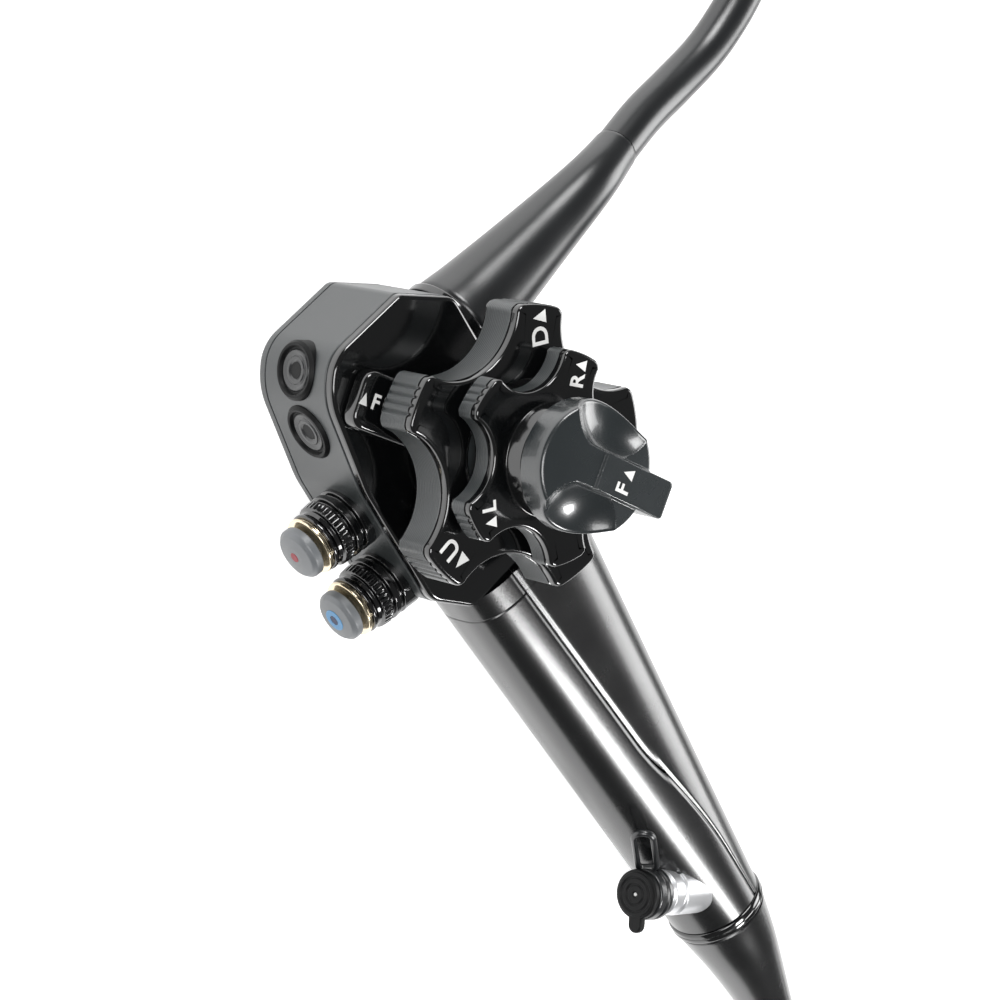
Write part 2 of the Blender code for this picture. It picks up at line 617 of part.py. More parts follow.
def build_wheels():
    """Lock lever, up/down wheel, right/left wheel, lock knob and the two shafts with their drums."""
    lever_hole = UD_SHAFT_R + CLEAR
    finger = LEVER_FINGER_WIDTH / 2
    hub_half = math.degrees(math.asin((finger - WHEEL_EDGE) / LEVER_HUB_R))
    lever = arc((0, 0), LEVER_HUB_R, LEVER_ANGLE + hub_half, LEVER_ANGLE - hub_half + 360.0)
    side = math.radians(LEVER_ANGLE)
    along = Vector((math.cos(side), math.sin(side)))
    across = Vector((-along.y, along.x))
    tip = along * (LEVER_REACH - finger)
    lever += arc(tip, finger, LEVER_ANGLE - 90.0, LEVER_ANGLE + 90.0)
    plate("ud_lock_lever", [lever, circle(lever_hole)], LEVER_Z0, LEVER_Z1, GLOSS, WHEEL_EDGE)

    ud_wheel = plate("ud_wheel", [lobed_outline(UD_R, UD_WAIST_R, UD_LOBE_WIDTH, UD_ANGLE),
                                  circle(UD_SHAFT_R + CLEAR)], UD_Z0, UD_Z1, BLACK)
    boolean(ud_wheel, turned("cut_ud_dish", [
        (0.0, UD_Z1 + WHEEL_EDGE), (UD_DISH_R + WHEEL_EDGE, UD_Z1 + WHEEL_EDGE),
        (UD_DISH_R - UD_DISH_DEPTH, UD_Z1 - UD_DISH_DEPTH), (0.0, UD_Z1 - UD_DISH_DEPTH)], BLACK))
    bevel(ud_wheel, WHEEL_EDGE)

    rl_hole = RL_SHAFT_R + CLEAR
    rl_wheel = plate("rl_wheel", [lobed_outline(RL_R, RL_WAIST_R, RL_LOBE_WIDTH, RL_ANGLE), circle(rl_hole)],
                     RL_Z0, RL_Z1, BLACK, WHEEL_EDGE)
    sunk = RL_Z1 - WHEEL_EDGE
    hub = turned("join_rl_hub", [
        (RL_HUB_R - RL_HUB_ROUND, RL_HUB_Z), (RL_HUB_R, RL_HUB_Z - RL_HUB_ROUND / 2),
        (RL_HUB_R + RL_HUB_FLARE, sunk), (rl_hole, sunk), (rl_hole, RL_HUB_Z)], BLACK, steps=20)
    boolean(rl_wheel, hub, "UNION")

    knob = turned("rl_lock_knob", [
        (0.0, KNOB_Z1), (KNOB_R - KNOB_ROUND, KNOB_Z1),
        (KNOB_R - KNOB_ROUND / 4, KNOB_Z1 - KNOB_ROUND / 3), (KNOB_R, KNOB_Z1 - KNOB_ROUND),
        (KNOB_R, KNOB_Z0 + KNOB_FOOT), (KNOB_R - KNOB_FOOT_IN, KNOB_Z0),
        (POST_R + CLEAR, KNOB_Z0), (POST_R + CLEAR, POST_TOP + CLEAR), (0.0, POST_TOP + CLEAR)],
        BLACK, steps=24)
    for sign in (-1, 1):
        centre = polar(KNOB_SCOOP_R + KNOB_BAR_WIDTH / 2 - WHEEL_EDGE, KNOB_BAR_ANGLE + sign * 90.0)
        over = KNOB_Z1 + 2 * WHEEL_EDGE
        scoop = turned(f"cut_scoop_{sign + 1}", [
            (0.0, over), (KNOB_SCOOP_R + 2 * CLEAR, over), (KNOB_SCOOP_R, KNOB_Z1),
            (KNOB_SCOOP_R * 0.82, KNOB_Z1 - KNOB_SCOOP_DEPTH * 0.6),
            (KNOB_SCOOP_R * 0.5, KNOB_Z1 - KNOB_SCOOP_DEPTH * 0.92), (0.0, KNOB_Z1 - KNOB_SCOOP_DEPTH)],
            BLACK, (centre.x, centre.y, 0.0), steps=20)
        boolean(knob, scoop)
    half = KNOB_BAR_WIDTH / 2
    bar_turn = Matrix.Rotation(-math.radians(KNOB_BAR_ANGLE), 2)
    inner_end = 0.5 * MM - KNOB_R
    bar_corners = [(inner_end, half, half / 2), (inner_end, -half, half / 2),
                   (KNOB_BAR_REACH, -half * 0.8, half * 0.3), (KNOB_BAR_REACH, half * 0.8, half * 0.3)]
    bar_outline = [(bar_turn @ Vector(p))[:] for p in rounded(bar_corners)]
    bar = plate("join_bar", [bar_outline], KNOB_Z1 - KNOB_BAR_HEIGHT, KNOB_Z1 + KNOB_BAR_RISE, BLACK,
                KNOB_BAR_EDGE)
    boolean(knob, bar, "UNION")

    for name, low, inner, outer, top in (
            ("rl_shaft_drum", RL_DRUM_Z0, POST_R + CLEAR, RL_SHAFT_R, RL_HUB_Z - WHEEL_EDGE),
            ("ud_shaft_drum", UD_DRUM_Z0, RL_SHAFT_R + CLEAR, UD_SHAFT_R, UD_Z1 - UD_SHAFT_DROP)):
        rim = low + DRUM_THICK
        groove = DRUM_R - DRUM_GROOVE
        turned(name, [(outer, top), (outer, rim), (DRUM_R, rim), (DRUM_R, rim - DRUM_FLANGE),
                      (groove, rim - DRUM_GROOVE), (groove, low + DRUM_GROOVE),
                      (DRUM_R, low + DRUM_FLANGE), (DRUM_R, low), (inner, low), (inner, top)], STEEL,
               steps=16)


# Valves and switches

def build_valves():
    """For each valve: cylinder, collar, metal ring and the cap with its stem."""
    for name, (base, axis) in zip(("suction", "air_water"), valve_frames()):
        seat = COLLAR_TOP + CLEAR
        floor = CYLINDER_FLOOR - CYLINDER_INSIDE
        turned(f"{name}_cylinder", [
            (0.0, floor), (CYLINDER_BORE_R, floor), (CYLINDER_BORE_R, COLLAR_TOP), (CYLINDER_R, COLLAR_TOP),
            (CYLINDER_R, -CYLINDER_INSIDE), (0.0, -CYLINDER_INSIDE)], STEEL, base, axis, 20)
        inner = CYLINDER_R + CLEAR
        groove = COLLAR_R - GRIP_GROOVE
        band = COLLAR_TOP - COLLAR_BAND
        turned(f"{name}_collar", [
            (COLLAR_R - COLLAR_EDGE, COLLAR_TOP), (COLLAR_R, COLLAR_TOP - COLLAR_EDGE), (COLLAR_R, band),
            (groove, band - 0.5 * GRIP_GROOVE), (groove, band - 1.8 * GRIP_GROOVE),
            (COLLAR_R, band - 2.5 * GRIP_GROOVE), (COLLAR_R, -COLLAR_SEAT), (inner, -COLLAR_SEAT),
            (inner, COLLAR_TOP)], BLACK, base, axis, 24)
        ring_inner = CAP_R + CLEAR
        ring_top = seat + VALVE_RING_HEIGHT
        turned(f"{name}_ring", [
            (VALVE_RING_R - VALVE_RING_EDGE, ring_top), (VALVE_RING_R, ring_top - VALVE_RING_EDGE),
            (VALVE_RING_R, seat), (ring_inner, seat), (ring_inner, ring_top)], BRASS, base, axis, 24)
        stem = CYLINDER_BORE_R - CLEAR
        turned(f"{name}_cap", [
            (0.0, CAP_FACE), (CAP_R - CAP_EDGE, CAP_FACE), (CAP_R, CAP_FACE - CAP_EDGE),
            (CAP_R, CAP_FACE - CAP_THICK), (stem, CAP_FACE - CAP_THICK), (stem, floor + STEM_ROOM),
            (0.0, floor + STEM_ROOM)], RUBBER, base, axis, 24)


def build_switches():
    """For each remote switch: the bezel ring in the wall and the button that travels in it."""
    for i, (base, axis) in enumerate(switch_frames(), 1):
        bore = BUTTON_R + CLEAR
        low = -BUTTON_DEPTH
        turned(f"switch_{i}_bezel", [
            (BEZEL_R - BUTTON_DISH, BEZEL_HEIGHT), (BEZEL_R, BEZEL_HEIGHT - BUTTON_DISH), (BEZEL_R, low),
            (bore, low), (bore, BEZEL_HEIGHT)], BLACK, base, axis, 28)
        back = low + BUTTON_TRAVEL + CLEAR
        turned(f"switch_{i}_button", [
            (0.0, BUTTON_HEIGHT - BUTTON_DISH), (BUTTON_R * 0.6, BUTTON_HEIGHT - BUTTON_DISH * 0.4),
            (BUTTON_R - BUTTON_EDGE, BUTTON_HEIGHT), (BUTTON_R, BUTTON_HEIGHT - BUTTON_EDGE),
            (BUTTON_R, back), (0.0, back)], RUBBER, base, axis, 24)


# Grip, end ring and channel port

def grip_size(y):
    """Half width and half depth of the grip at a place along it."""
    share = (y - NECK_Y) / (GRIP_END_Y - NECK_Y)
    return GRIP_TOP_A + (GRIP_END_R - GRIP_TOP_A) * share, GRIP_TOP_B + (GRIP_END_R - GRIP_TOP_B) * share


def grip_point(y, angle, shrink=0.0):
    """Point of the grip's section: an oval that is boxier on its upper left, where the ridge runs."""
    a, b = grip_size(y)
    share = (y - NECK_Y) / (GRIP_END_Y - NECK_Y)
    c, s = math.cos(angle), math.sin(angle)
    boxy = 2.0 + (1.6 if c < 0.0 and s > 0.0 else 0.5) * (1.0 - share)
    x = (a - shrink) * math.copysign(abs(c) ** (2.0 / boxy), c)
    z = (b - shrink) * math.copysign(abs(s) ** (2.0 / boxy), s)
    return Vector((x, y, GRIP_Z + z))


def grip_shell(name, right):
    """One of the grip's two shells: a C-shaped section lofted along the grip."""
    rings = []
    for i in range(GRIP_STATIONS):
        share = i / (GRIP_STATIONS - 1)
        y = NECK_Y - CLEAR + (GRIP_END_Y - NECK_Y + CLEAR) * share
        a, b = grip_size(y)
        seam = SEAM_TOP_X + (SEAM_END_X - SEAM_TOP_X) * share
        half_gap = CLEAR / 2 if right else -CLEAR / 2
        loops = []
        for shrink in (0.0, GRIP_WALL):
            top = math.acos((seam + half_gap) / (a - shrink))
            bottom = -math.acos(half_gap / (a - shrink))
            if not right:
                bottom += math.tau
            loops.append([grip_point(y, top + (bottom - top) * k / 12, shrink) for k in range(13)])
        rings.append(loops[0] + loops[1][::-1])
    return put(name, mesh_of(name, rings), BLACK)


def build_grip():
    """Two grip shells, the end ring and the channel port with its rubber valve."""
    left = grip_shell("grip_left_shell", False)
    grip_shell("grip_right_shell", True)
    boolean(left, rod_cutter("cut_port", PORT_FROM, PORT_AXIS, PORT_R + CLEAR, PORT_START - 3 * CLEAR,
                             PORT_LENGTH + CUT_PAST))
    inner = GRIP_END_R - GRIP_WALL
    outer = GRIP_END_R + END_RING_PROUD
    base = (0.0, RING_Y0, GRIP_Z)
    turned("grip_end_ring", [
        (inner, END_RING_WIDTH), (outer - END_RING_EDGE, END_RING_WIDTH),
        (outer, END_RING_WIDTH - END_RING_EDGE), (outer, END_RING_EDGE), (outer - END_RING_EDGE, 0.0),
        (inner, 0.0)], BLACK, base, (0, -1, 0), 24)

    step = PORT_LENGTH - PORT_LIP_HEIGHT
    turned("channel_port", [
        (PORT_R - PORT_LIP, PORT_LENGTH), (PORT_R - PORT_LIP, step), (PORT_R, step - PORT_SLOPE),
        (PORT_R, PORT_START), (PORT_BORE_R, PORT_START), (PORT_BORE_R, PORT_LENGTH)], STEEL,
        PORT_FROM, PORT_AXIS, 24)
    low = PORT_LENGTH + CLEAR
    high = low + VALVE_BODY_HEIGHT
    middle = low + BODY_GROOVE_MID
    turned("biopsy_valve_body", [
        (VALVE_BODY_R - VALVE_BODY_EDGE, high), (VALVE_BODY_R, high - VALVE_BODY_EDGE),
        (VALVE_BODY_R, middle + VALVE_BODY_EDGE), (VALVE_BODY_R - BODY_GROOVE, middle),
        (VALVE_BODY_R, middle - VALVE_BODY_EDGE), (VALVE_BODY_R, low), (PORT_BORE_R, low),
        (PORT_BORE_R, high)], RUBBER, PORT_FROM, PORT_AXIS, 24)
    return high


def port_side():
    """Direction across the port, towards the head: the valve's strap and the lid's hinge lie there."""
    return (PORT_SIDE - PORT_AXIS * PORT_AXIS.dot(PORT_SIDE)).normalized()


def placed_plate(name, outlines, low, high, material, base, along, normal, at, edge=0.0):
    """Flat piece with heights along a normal from a base point; its outline's X runs along a direction."""
    piece = plate(name, outlines, low, high, material, edge)
    frame = Matrix((along, normal.cross(along), normal)).transposed().to_4x4()
    piece.data.transform(Matrix.Translation(base - Vector(at)) @ frame)
    piece.location = at
    return piece


def build_port_valve(high):
    """Strap with its slot beside the port's valve, and the lid on its hinge."""
    side = port_side()
    start = PORT_FROM + PORT_AXIS * (PORT_LENGTH + STRAP_DROP) + side * (VALVE_BODY_R + STRAP_GAP)
    along = STRAP_AXIS
    normal = (STRAP_NORMAL - along * along.dot(STRAP_NORMAL)).normalized()
    half = STRAP_WIDTH / 2
    hole = STRAP_WIDTH / 2 - STRAP_RIM
    strap = [(0.0, half), (0.0, -half)] + arc((STRAP_REACH - half, 0), half, -90.0, 90.0)
    root = STRAP_RIM + 0.5 * MM
    slot = arc((root + hole, 0), hole, 90.0, 270.0) + arc((STRAP_REACH - half, 0), hole, -90.0, 90.0)
    placed_plate("biopsy_valve_strap", [strap, slot], 0.0, STRAP_THICK, RUBBER, start, along, normal, start)

    low = high + CLEAR
    hinge = PORT_FROM + PORT_AXIS * (low + LID_THICK / 2) + side * VALVE_BODY_R
    tab_r = LID_TAB_WIDTH / 2
    tab_half = math.degrees(math.asin(tab_r / LID_R))
    outline = arc((0, 0), LID_R, -180.0 + tab_half, 180.0 - tab_half)
    outline += arc((-LID_R - LID_TAB + tab_r, 0), tab_r, 90.0, 270.0, 30.0)
    placed_plate("biopsy_valve_lid", [outline, circle(LID_HOLE_R, step=45.0)], low, low + LID_THICK, RUBBER,
                 PORT_FROM, side, PORT_AXIS, hinge, LID_EDGE)


# Insertion tube with its bending section

def taper(start_r, end_r, count, power=1.25):
    """Radii that shrink from one value to another, faster at the start."""
    return [end_r + (start_r - end_r) * (1.0 - i / (count - 1)) ** power for i in range(count)]


def build_insertion_tube():
    """Boot, straight runs, coil, jointed bending section and distal tip."""
    _, tip_y, tip_z = INSERTION_RUN[0]
    start = BOOT_Y0 / MM
    height = GRIP_Z / MM
    route = [(0.0, start, height), (0.0, start - 12.0, height - 0.2), (0.0, start - 26.0, height - 2.0),
             (0.0, tip_y + CLEAR / MM, tip_z + 0.1)]
    points = smooth_route(route, BOOT_SPACING)
    radii = taper(GRIP_END_R, INSERTION_BOOT_TIP_R, len(points))
    tube("insertion_boot", points, GRIP_END_R, RUBBER, radii, 4)
    turn = []
    for angle, z in INSERTION_TURN:
        side = INSERTION_TURN_R * (1.0 - math.cos(math.radians(angle)))
        down = INSERTION_TURN_R * math.sin(math.radians(angle))
        turn.append((side, INSERTION_RUN[-1][1] - down, z))
    run = INSERTION_RUN + turn + INSERTION_APPROACH
    laid_tube(("insertion_tube", "insertion_coil", "insertion_tube_end"), INSERTION_D / 2, run,
              wound(INSERTION_COIL, INSERTION_LAYERS), INSERTION_EXIT)
    build_bending_section()


def wound(stations, layers):
    """Route points of a coil, in mm: radius and height ease from station to station along the turn."""
    radii = (COIL_INNER_R, COIL_OUTER_R)
    points = []
    for (a0, column0, layer0), (a1, column1, layer1) in zip(stations, stations[1:]):
        count = max(1, round((a1 - a0) / COIL_STEP_ANGLE))
        last = 1 if a1 == stations[-1][0] else 0
        for k in range(count + last):
            t = k / count
            ease = t * t * (3.0 - 2.0 * t)
            radius = radii[column0] + (radii[column1] - radii[column0]) * ease
            height = layers[layer0] + (layers[layer1] - layers[layer0]) * ease
            x, y = polar(radius, a0 + (a1 - a0) * t)
            points.append((COIL_CENTRE[0] + x, COIL_CENTRE[1] + y, height))
    return points


def laid_tube(names, radius, run, coil, end):
    """One tube on its whole route, as three solids: the run, the coil and the end.

    Each cut lies in the middle of a straight piece, so both faces are square to it.
    """
    points = smooth_route(run + coil + end, TUBE_SPACING)
    centres = [(p + q) / 2 for p, q in zip(points, points[1:])]
    cuts = []
    for knot in (coil[0], coil[-1]):
        away = [(centre - Vector(knot) * MM).length for centre in centres]
        cuts.append(away.index(min(away)))
    halves = [(points[i + 1] - points[i]).normalized() * CLEAR / 2 for i in cuts]
    first, last = cuts
    pieces = (points[:first + 1] + [centres[first] - halves[0]],
              [centres[first] + halves[0]] + points[first + 1:last + 1] + [centres[last] - halves[1]],
              [centres[last] + halves[1]] + points[last + 1:])
    for name, piece in zip(names, pieces):
        tube(name, piece, radius, RUBBER)


def roof(name, slopes, sideways, low, high):
    """Long cutter body whose end at `high` is a roof; its ridge is the hinge line of a link.

    The ridge lies along Z, or along X where the link bends up and down (sideways).
    """
    left, right = (math.tan(math.radians(s)) for s in slopes)
    reach = 2 * BEND_R
    outline = [(-reach, low), (reach, low), (reach, high - reach * right), (0.0, high),
               (-reach, high - reach * left)]
    rings = []
    for depth in (-reach, reach):
        rings.append([(depth, y, -x) if sideways else (x, y, depth) for x, y in outline])
    return mesh_of(name, rings)


def link_mesh(name, radius, length, start, end, bore=BEND_BORE_R):
    """Ring link along +Y whose two ends are roofs; start and end are (slopes, sideways) or None."""
    half = length / 2
    ring = [(bore, half), (radius, half), (radius, -half), (bore, -half)]
    piece = turned(name, ring, STEEL, (0, 0, 0), (0, 1, 0), 20)
    for place, ends in ((1, end), (-1, start)):
        if ends is None:
            continue
        slopes, sideways = ends
        mesh = roof(f"{name}_roof_{place}", slopes, sideways, -2 * length, half)
        if place < 0:
            mesh.transform(Matrix.Diagonal((1, -1, 1, 1)))
            mesh.flip_normals()
        cutter = bpy.data.objects.new(mesh.name, mesh)
        PARTS.objects.link(cutter)
        boolean(piece, cutter, "INTERSECT")
    bpy.context.view_layer.update()
    mesh = bpy.data.meshes.new_from_object(piece.evaluated_get(bpy.context.evaluated_depsgraph_get()))
    bpy.data.objects.remove(piece, do_unlink=True)
    weld(mesh)
    return mesh


def build_bending_section():
    """Chain of ring links: hinges turn about Z and about X by turns, and the last carries the tip."""
    ud, rl = (UD_LINK_HALF, False), (RL_LINK_HALF, True)
    length = BEND_PITCH - CLEAR
    collar = link_mesh("collar", BEND_R, BEND_COLLAR - CLEAR / 2, None, ud)
    odd = link_mesh("odd", BEND_R, length, ud, rl)
    even = link_mesh("even", BEND_R, length, rl, ud)
    first = BEND_START + Vector((0, BEND_COLLAR, 0))
    collar.transform(Matrix.Translation((0, (BEND_COLLAR - CLEAR / 2) / 2, 0)))
    put("bending_collar", collar, STEEL, BEND_START)
    for mesh in (odd, even):
        mesh.transform(Matrix.Translation((0, BEND_PITCH / 2, 0)))
    parent = None
    for i in range(BEND_JOINTS - 1):
        mesh = odd.copy() if i % 2 == 0 else even.copy()
        parent = put(f"bending_link_{i + 1}", mesh, STEEL, first + Vector((0, BEND_PITCH * i, 0)), parent)
    build_tip(first + Vector((0, BEND_PITCH * (BEND_JOINTS - 1), 0)), parent)


def build_tip(hinge, parent):
    """Distal tip with its objective lens, light lenses, nozzle and channel outlet."""
    mesh = link_mesh("tip", TIP_R, TIP_LENGTH, (RL_LINK_HALF, True), None, 0.0)
    mesh.transform(Matrix.Translation((0, TIP_LENGTH / 2 + CLEAR / 2, 0)))
    tip = put("distal_tip", mesh, BLACK, hinge, parent)
    face = hinge + Vector((0, TIP_LENGTH + CLEAR / 2, 0))
    for name, (x, z, radius) in TIP_SPOTS.items():
        centre = face + Vector((x, 0, z)) * MM
        boolean(tip, rod_cutter(f"cut_{name}", centre, (0, 1, 0), radius, -LENS_SEAT, LENS_THICK, 16))
        if name != "channel_outlet":
            lens = radius - CLEAR
            back = CLEAR - LENS_SEAT
            front = back + LENS_THICK
            profile = [(0.0, front), (lens, front - CLEAR / 2), (lens, back), (0.0, back)]
            turned(name, profile, GLASS, centre, (0, 1, 0), 16, hinge, parent=tip)


# Universal cord and light-guide connector

def build_universal_cord():
    """Collar, boot, runs, coil and the light-guide connector."""
    base = Vector((CORD_WALL_X + CLEAR, CORD_Y, CORD_Z))
    rounded_r = CORD_COLLAR_R - END_RING_EDGE
    turned("cord_collar", [
        (rounded_r, CORD_COLLAR_WIDTH), (CORD_COLLAR_R, CORD_COLLAR_WIDTH - END_RING_EDGE),
        (CORD_COLLAR_R, 0.0), (CORD_HOLE_R, 0.0), (CORD_HOLE_R, CORD_COLLAR_WIDTH)], BLACK, base,
        (1, 0, 0), 24)
    x0 = (base.x + CORD_COLLAR_WIDTH + CLEAR) / MM
    y, z = CORD_Y / MM, CORD_Z / MM
    tip = Vector(CORD_RUN[0])
    lead = (Vector(CORD_RUN[1]) - tip).normalized()
    route = [(x0, y, z), (x0 + 9.0, y, z), (x0 + 30.0, y + 0.8, z + 0.2), tip - lead * 13.0,
             tip - lead * CLEAR / MM]
    points = smooth_route(route, 1.5 * BOOT_SPACING)
    tube("cord_boot", points, CORD_BOOT_R, RUBBER, taper(CORD_BOOT_R, CORD_BOOT_TIP_R, len(points)), 4)
    x, y, radius = CORD_BEND
    bend = [(x + radius * math.cos(math.radians(a)), y + radius * math.sin(math.radians(a)), CORD_RUN[-1][2])
            for a in CORD_BEND_ANGLES]
    x, y, radius = CORD_LAST_TURN
    step = math.pi / (len(CORD_LAST_HEIGHTS) - 1)
    last = [(x - radius * math.cos(i * step), y - radius * math.sin(i * step), z)
            for i, z in enumerate(CORD_LAST_HEIGHTS)]
    laid_tube(("universal_cord", "universal_coil", "universal_cord_end"), CORD_D / 2,
              CORD_RUN + bend + CORD_APPROACH, wound(CORD_COIL, CORD_LAYERS),
              [CORD_LEAVE] + last + [CORD_STOP])
    build_connector()


def build_connector():
    """Light-guide connector that ends the universal cord: boot, body, light-guide pin and air pipe."""
    axis = Vector((0, 1, 0))
    turned("connector_boot", [
        (0.0, CONNECTOR_BOOT), (CONNECTOR_BOOT_R, CONNECTOR_BOOT),
        (CONNECTOR_BOOT_R * 0.9, CONNECTOR_BOOT * 0.5), (CORD_BOOT_TIP_R, 0.0), (0.0, 0.0)], RUBBER,
        CONNECTOR_FROM, axis, 24)
    low = CONNECTOR_BOOT + CLEAR
    high = low + CONNECTOR_BODY
    turned("connector_body", [
        (0.0, high), (CONNECTOR_R * CONNECTOR_FACE, high),
        (CONNECTOR_R * (CONNECTOR_FACE + 0.04), high - CONNECTOR_NOSE),
        (CONNECTOR_R * 0.97, high - 1.1 * CONNECTOR_NOSE), (CONNECTOR_R, high - 1.4 * CONNECTOR_NOSE),
        (CONNECTOR_R, low + CONNECTOR_BACK), (CONNECTOR_R * 0.85, low + CONNECTOR_BACK / 3),
        (1.1 * CONNECTOR_BOOT_R, low), (0.0, low)], BLACK, CONNECTOR_FROM, axis, 24)
    base = high + CLEAR
    end = base + GUIDE_PIN_LENGTH
    neck = base + 0.42 * GUIDE_PIN_LENGTH
    turned("light_guide_pin", [
        (0.0, end), (GUIDE_PIN_R * 0.8, end), (GUIDE_PIN_R * 0.88, neck + 3 * CLEAR), (GUIDE_PIN_R, neck),
        (GUIDE_PIN_R, base), (0.0, base)], STEEL, CONNECTOR_FROM + PIN_UP, axis, 24)
    end = base + AIR_PIPE_LENGTH
    turned("air_pipe", [
        (0.0, end), (AIR_PIPE_R, end - 2 * CLEAR), (AIR_PIPE_R, base), (0.0, base)], STEEL,
        CONNECTOR_FROM + AIR_PIPE_DOWN, axis, 16)


# Pipes and light guide inside

def build_inside():
    """Suction pipe, air/water pipe and light-guide bundle, from the head to the end of the grip."""
    end = (BOOT_Y0 + CLEAR) / MM
    ways = (("suction_pipe", SUCTION_ROUTE + [(-3.6, end + 9.0, 11.4), (-3.6, end, 11.6)], PIPE_R),
            ("air_water_pipe", WATER_ROUTE + [(0.6, end + 12.0, 10.0), (0.6, end, 10.2)], WATER_PIPE_R))
    for (base, axis), (name, route, radius) in zip(valve_frames(), ways):
        start = base - axis * (CYLINDER_INSIDE + CLEAR)
        lead = [(start - axis * PIPE_LEAD) / MM]
        tube(name, [start] + smooth_route(lead + route, PIPE_SPACING), radius, STEEL, fineness=1)
    entry = Vector((CORD_WALL_X + CORD_COLLAR_WIDTH, CORD_Y, CORD_Z))
    points = smooth_route(BUNDLE_ROUTE + [(4.2, end, 15.0)], PIPE_SPACING)
    tube("light_guide_bundle", [entry] + points, BUNDLE_R, GLASS, fineness=1)


build_head()
build_wheels()
build_valves()
build_switches()
build_port_valve(build_grip())
build_insertion_tube()
build_universal_cord()
build_inside()
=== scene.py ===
"""Flexible endoscope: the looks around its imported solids.

Metres, +Z up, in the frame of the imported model: the control section lies on its back cover,
the control wheels turn about +Z at the origin, +Y runs from the grip to the head.
"""
import json
import math

import bmesh
import bpy
import numpy as np
from bpy.props import FloatProperty, FloatVectorProperty, PointerProperty
from mathutils import Matrix, Vector

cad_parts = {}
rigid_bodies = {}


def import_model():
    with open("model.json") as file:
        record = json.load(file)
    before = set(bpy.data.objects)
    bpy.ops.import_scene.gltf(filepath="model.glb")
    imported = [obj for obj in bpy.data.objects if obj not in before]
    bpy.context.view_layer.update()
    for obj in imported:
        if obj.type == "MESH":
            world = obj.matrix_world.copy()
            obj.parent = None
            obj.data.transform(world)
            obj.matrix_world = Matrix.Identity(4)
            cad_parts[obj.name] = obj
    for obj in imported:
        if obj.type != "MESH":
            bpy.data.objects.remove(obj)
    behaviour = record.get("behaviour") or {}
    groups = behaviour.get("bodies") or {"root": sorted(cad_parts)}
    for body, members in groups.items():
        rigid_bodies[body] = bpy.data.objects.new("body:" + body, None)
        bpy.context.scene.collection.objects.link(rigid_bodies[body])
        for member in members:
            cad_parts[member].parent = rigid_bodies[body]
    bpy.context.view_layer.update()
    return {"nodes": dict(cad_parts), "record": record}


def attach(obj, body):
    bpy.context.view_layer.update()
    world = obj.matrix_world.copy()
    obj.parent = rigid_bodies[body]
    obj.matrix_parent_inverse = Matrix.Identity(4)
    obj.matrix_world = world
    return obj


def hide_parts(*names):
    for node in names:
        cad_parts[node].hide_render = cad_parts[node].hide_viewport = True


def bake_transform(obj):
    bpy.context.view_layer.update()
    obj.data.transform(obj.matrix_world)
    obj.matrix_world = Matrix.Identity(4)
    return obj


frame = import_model()
NODES = frame["nodes"]

bl_info = {
    "name": "Flexible Endoscope",
    "version": (1, 0, 0),
    "blender": (4, 5, 0),
    "location": "View3D > Sidebar > Endoscope",
    "description": "Builds the outside of a flexible endoscope around its packed solids",
    "category": "Add Mesh",
}

MM = 0.001
TAU = math.tau
Z = np.array((0.0, 0.0, 1.0))
ROOT = "control_body"

# Camera: place, directions to the right, up and back to the viewer, focal length on a 36 mm sensor
CAMERA_AT = (-0.32224, 0.38524, 0.63486)
CAMERA_RIGHT = (0.64252, -0.43826, 0.62856)
CAMERA_UP = (0.65144, 0.74433, -0.14693)
CAMERA_BACK = (-0.40347, 0.50388, 0.76375)
FOCAL_MM = 131.33

# Clearance between fitted pieces, in mm, as in the solids
CLEAR = 0.3

# Control wheels, in mm: waist radius, lobe width, angle of a lobe, lowest and highest z
UD_WHEEL = (21.5, 13.0, 119.5, 33.9, 45.5)
RL_WHEEL = (15.5, 10.5, 104.5, 47.1, 54.1)
LOBES = 5
# A lobe's outline: steps of a corner, of the tip and of the hollow, and how far a corner turns, in degrees
CORNER_STEPS, TIP_STEPS, HOLLOW_STEPS, CORNER_TURN = 12, 72, 40, 62.0
RIB_GROOVE = 0.35
KNOB_LOW, KNOB_TOP, KNOB_R = 58.9, 69.9, 14.2
KNOB_BAR_ANGLE = -60.0
LEVER_ANGLE = 123.0
LEVER_LOW, LEVER_TOP = 27.3, 31.5

# Valves and switches, in mm
VALVE_WALL_X, SUCTION_Y, VALVE_PITCH, VALVE_TILT, VALVE_Z = -27.9, 0.4, 18.4, 8.0, 14.0
COLLAR_TOP, CAP_FACE, BEZEL_R = 9.2, 16.4, 6.5

# Head, in mm: where the two switch walls begin and end, their lean in degrees, and the levels of the cover
SWITCH_LOW_Y, SWITCH_HIGH_Y, HEAD_TOP_Y = 9.0, 31.5, 38.6
LOW_WALL_LEAN, HIGH_WALL_LEAN = 10.0, 49.0
HOUSING_TOP, COVER_TOP = 24.3, 27.0

# Grip, in mm
GRIP_Z, NECK_Y, GRIP_END_Y = 15.0, -31.0, -147.0
GRIP_TOP_A, GRIP_TOP_B, GRIP_END_R = 20.0, 13.0, 11.6
SEAM_TOP_X, SEAM_END_X, SEAM_SWING, SEAM_GAP = -4.0, 1.5, 3.6, 0.12
SHELL_WALL, HAIRLINE_Y, END_RING_WIDTH = 2.2, -37.6, 3.0

# Channel port, in mm
PORT_FROM = np.array((-1.0, -141.0, 19.0))
PORT_AXIS = np.array((-0.70, 0.69, 0.19)) / np.linalg.norm((-0.70, 0.69, 0.19))
PORT_SIDE = np.array((0.62, 0.72, -0.10))
PORT_LENGTH, PORT_R, VALVE_BODY_R, LID_R = 22.5, 5.6, 6.2, 5.8

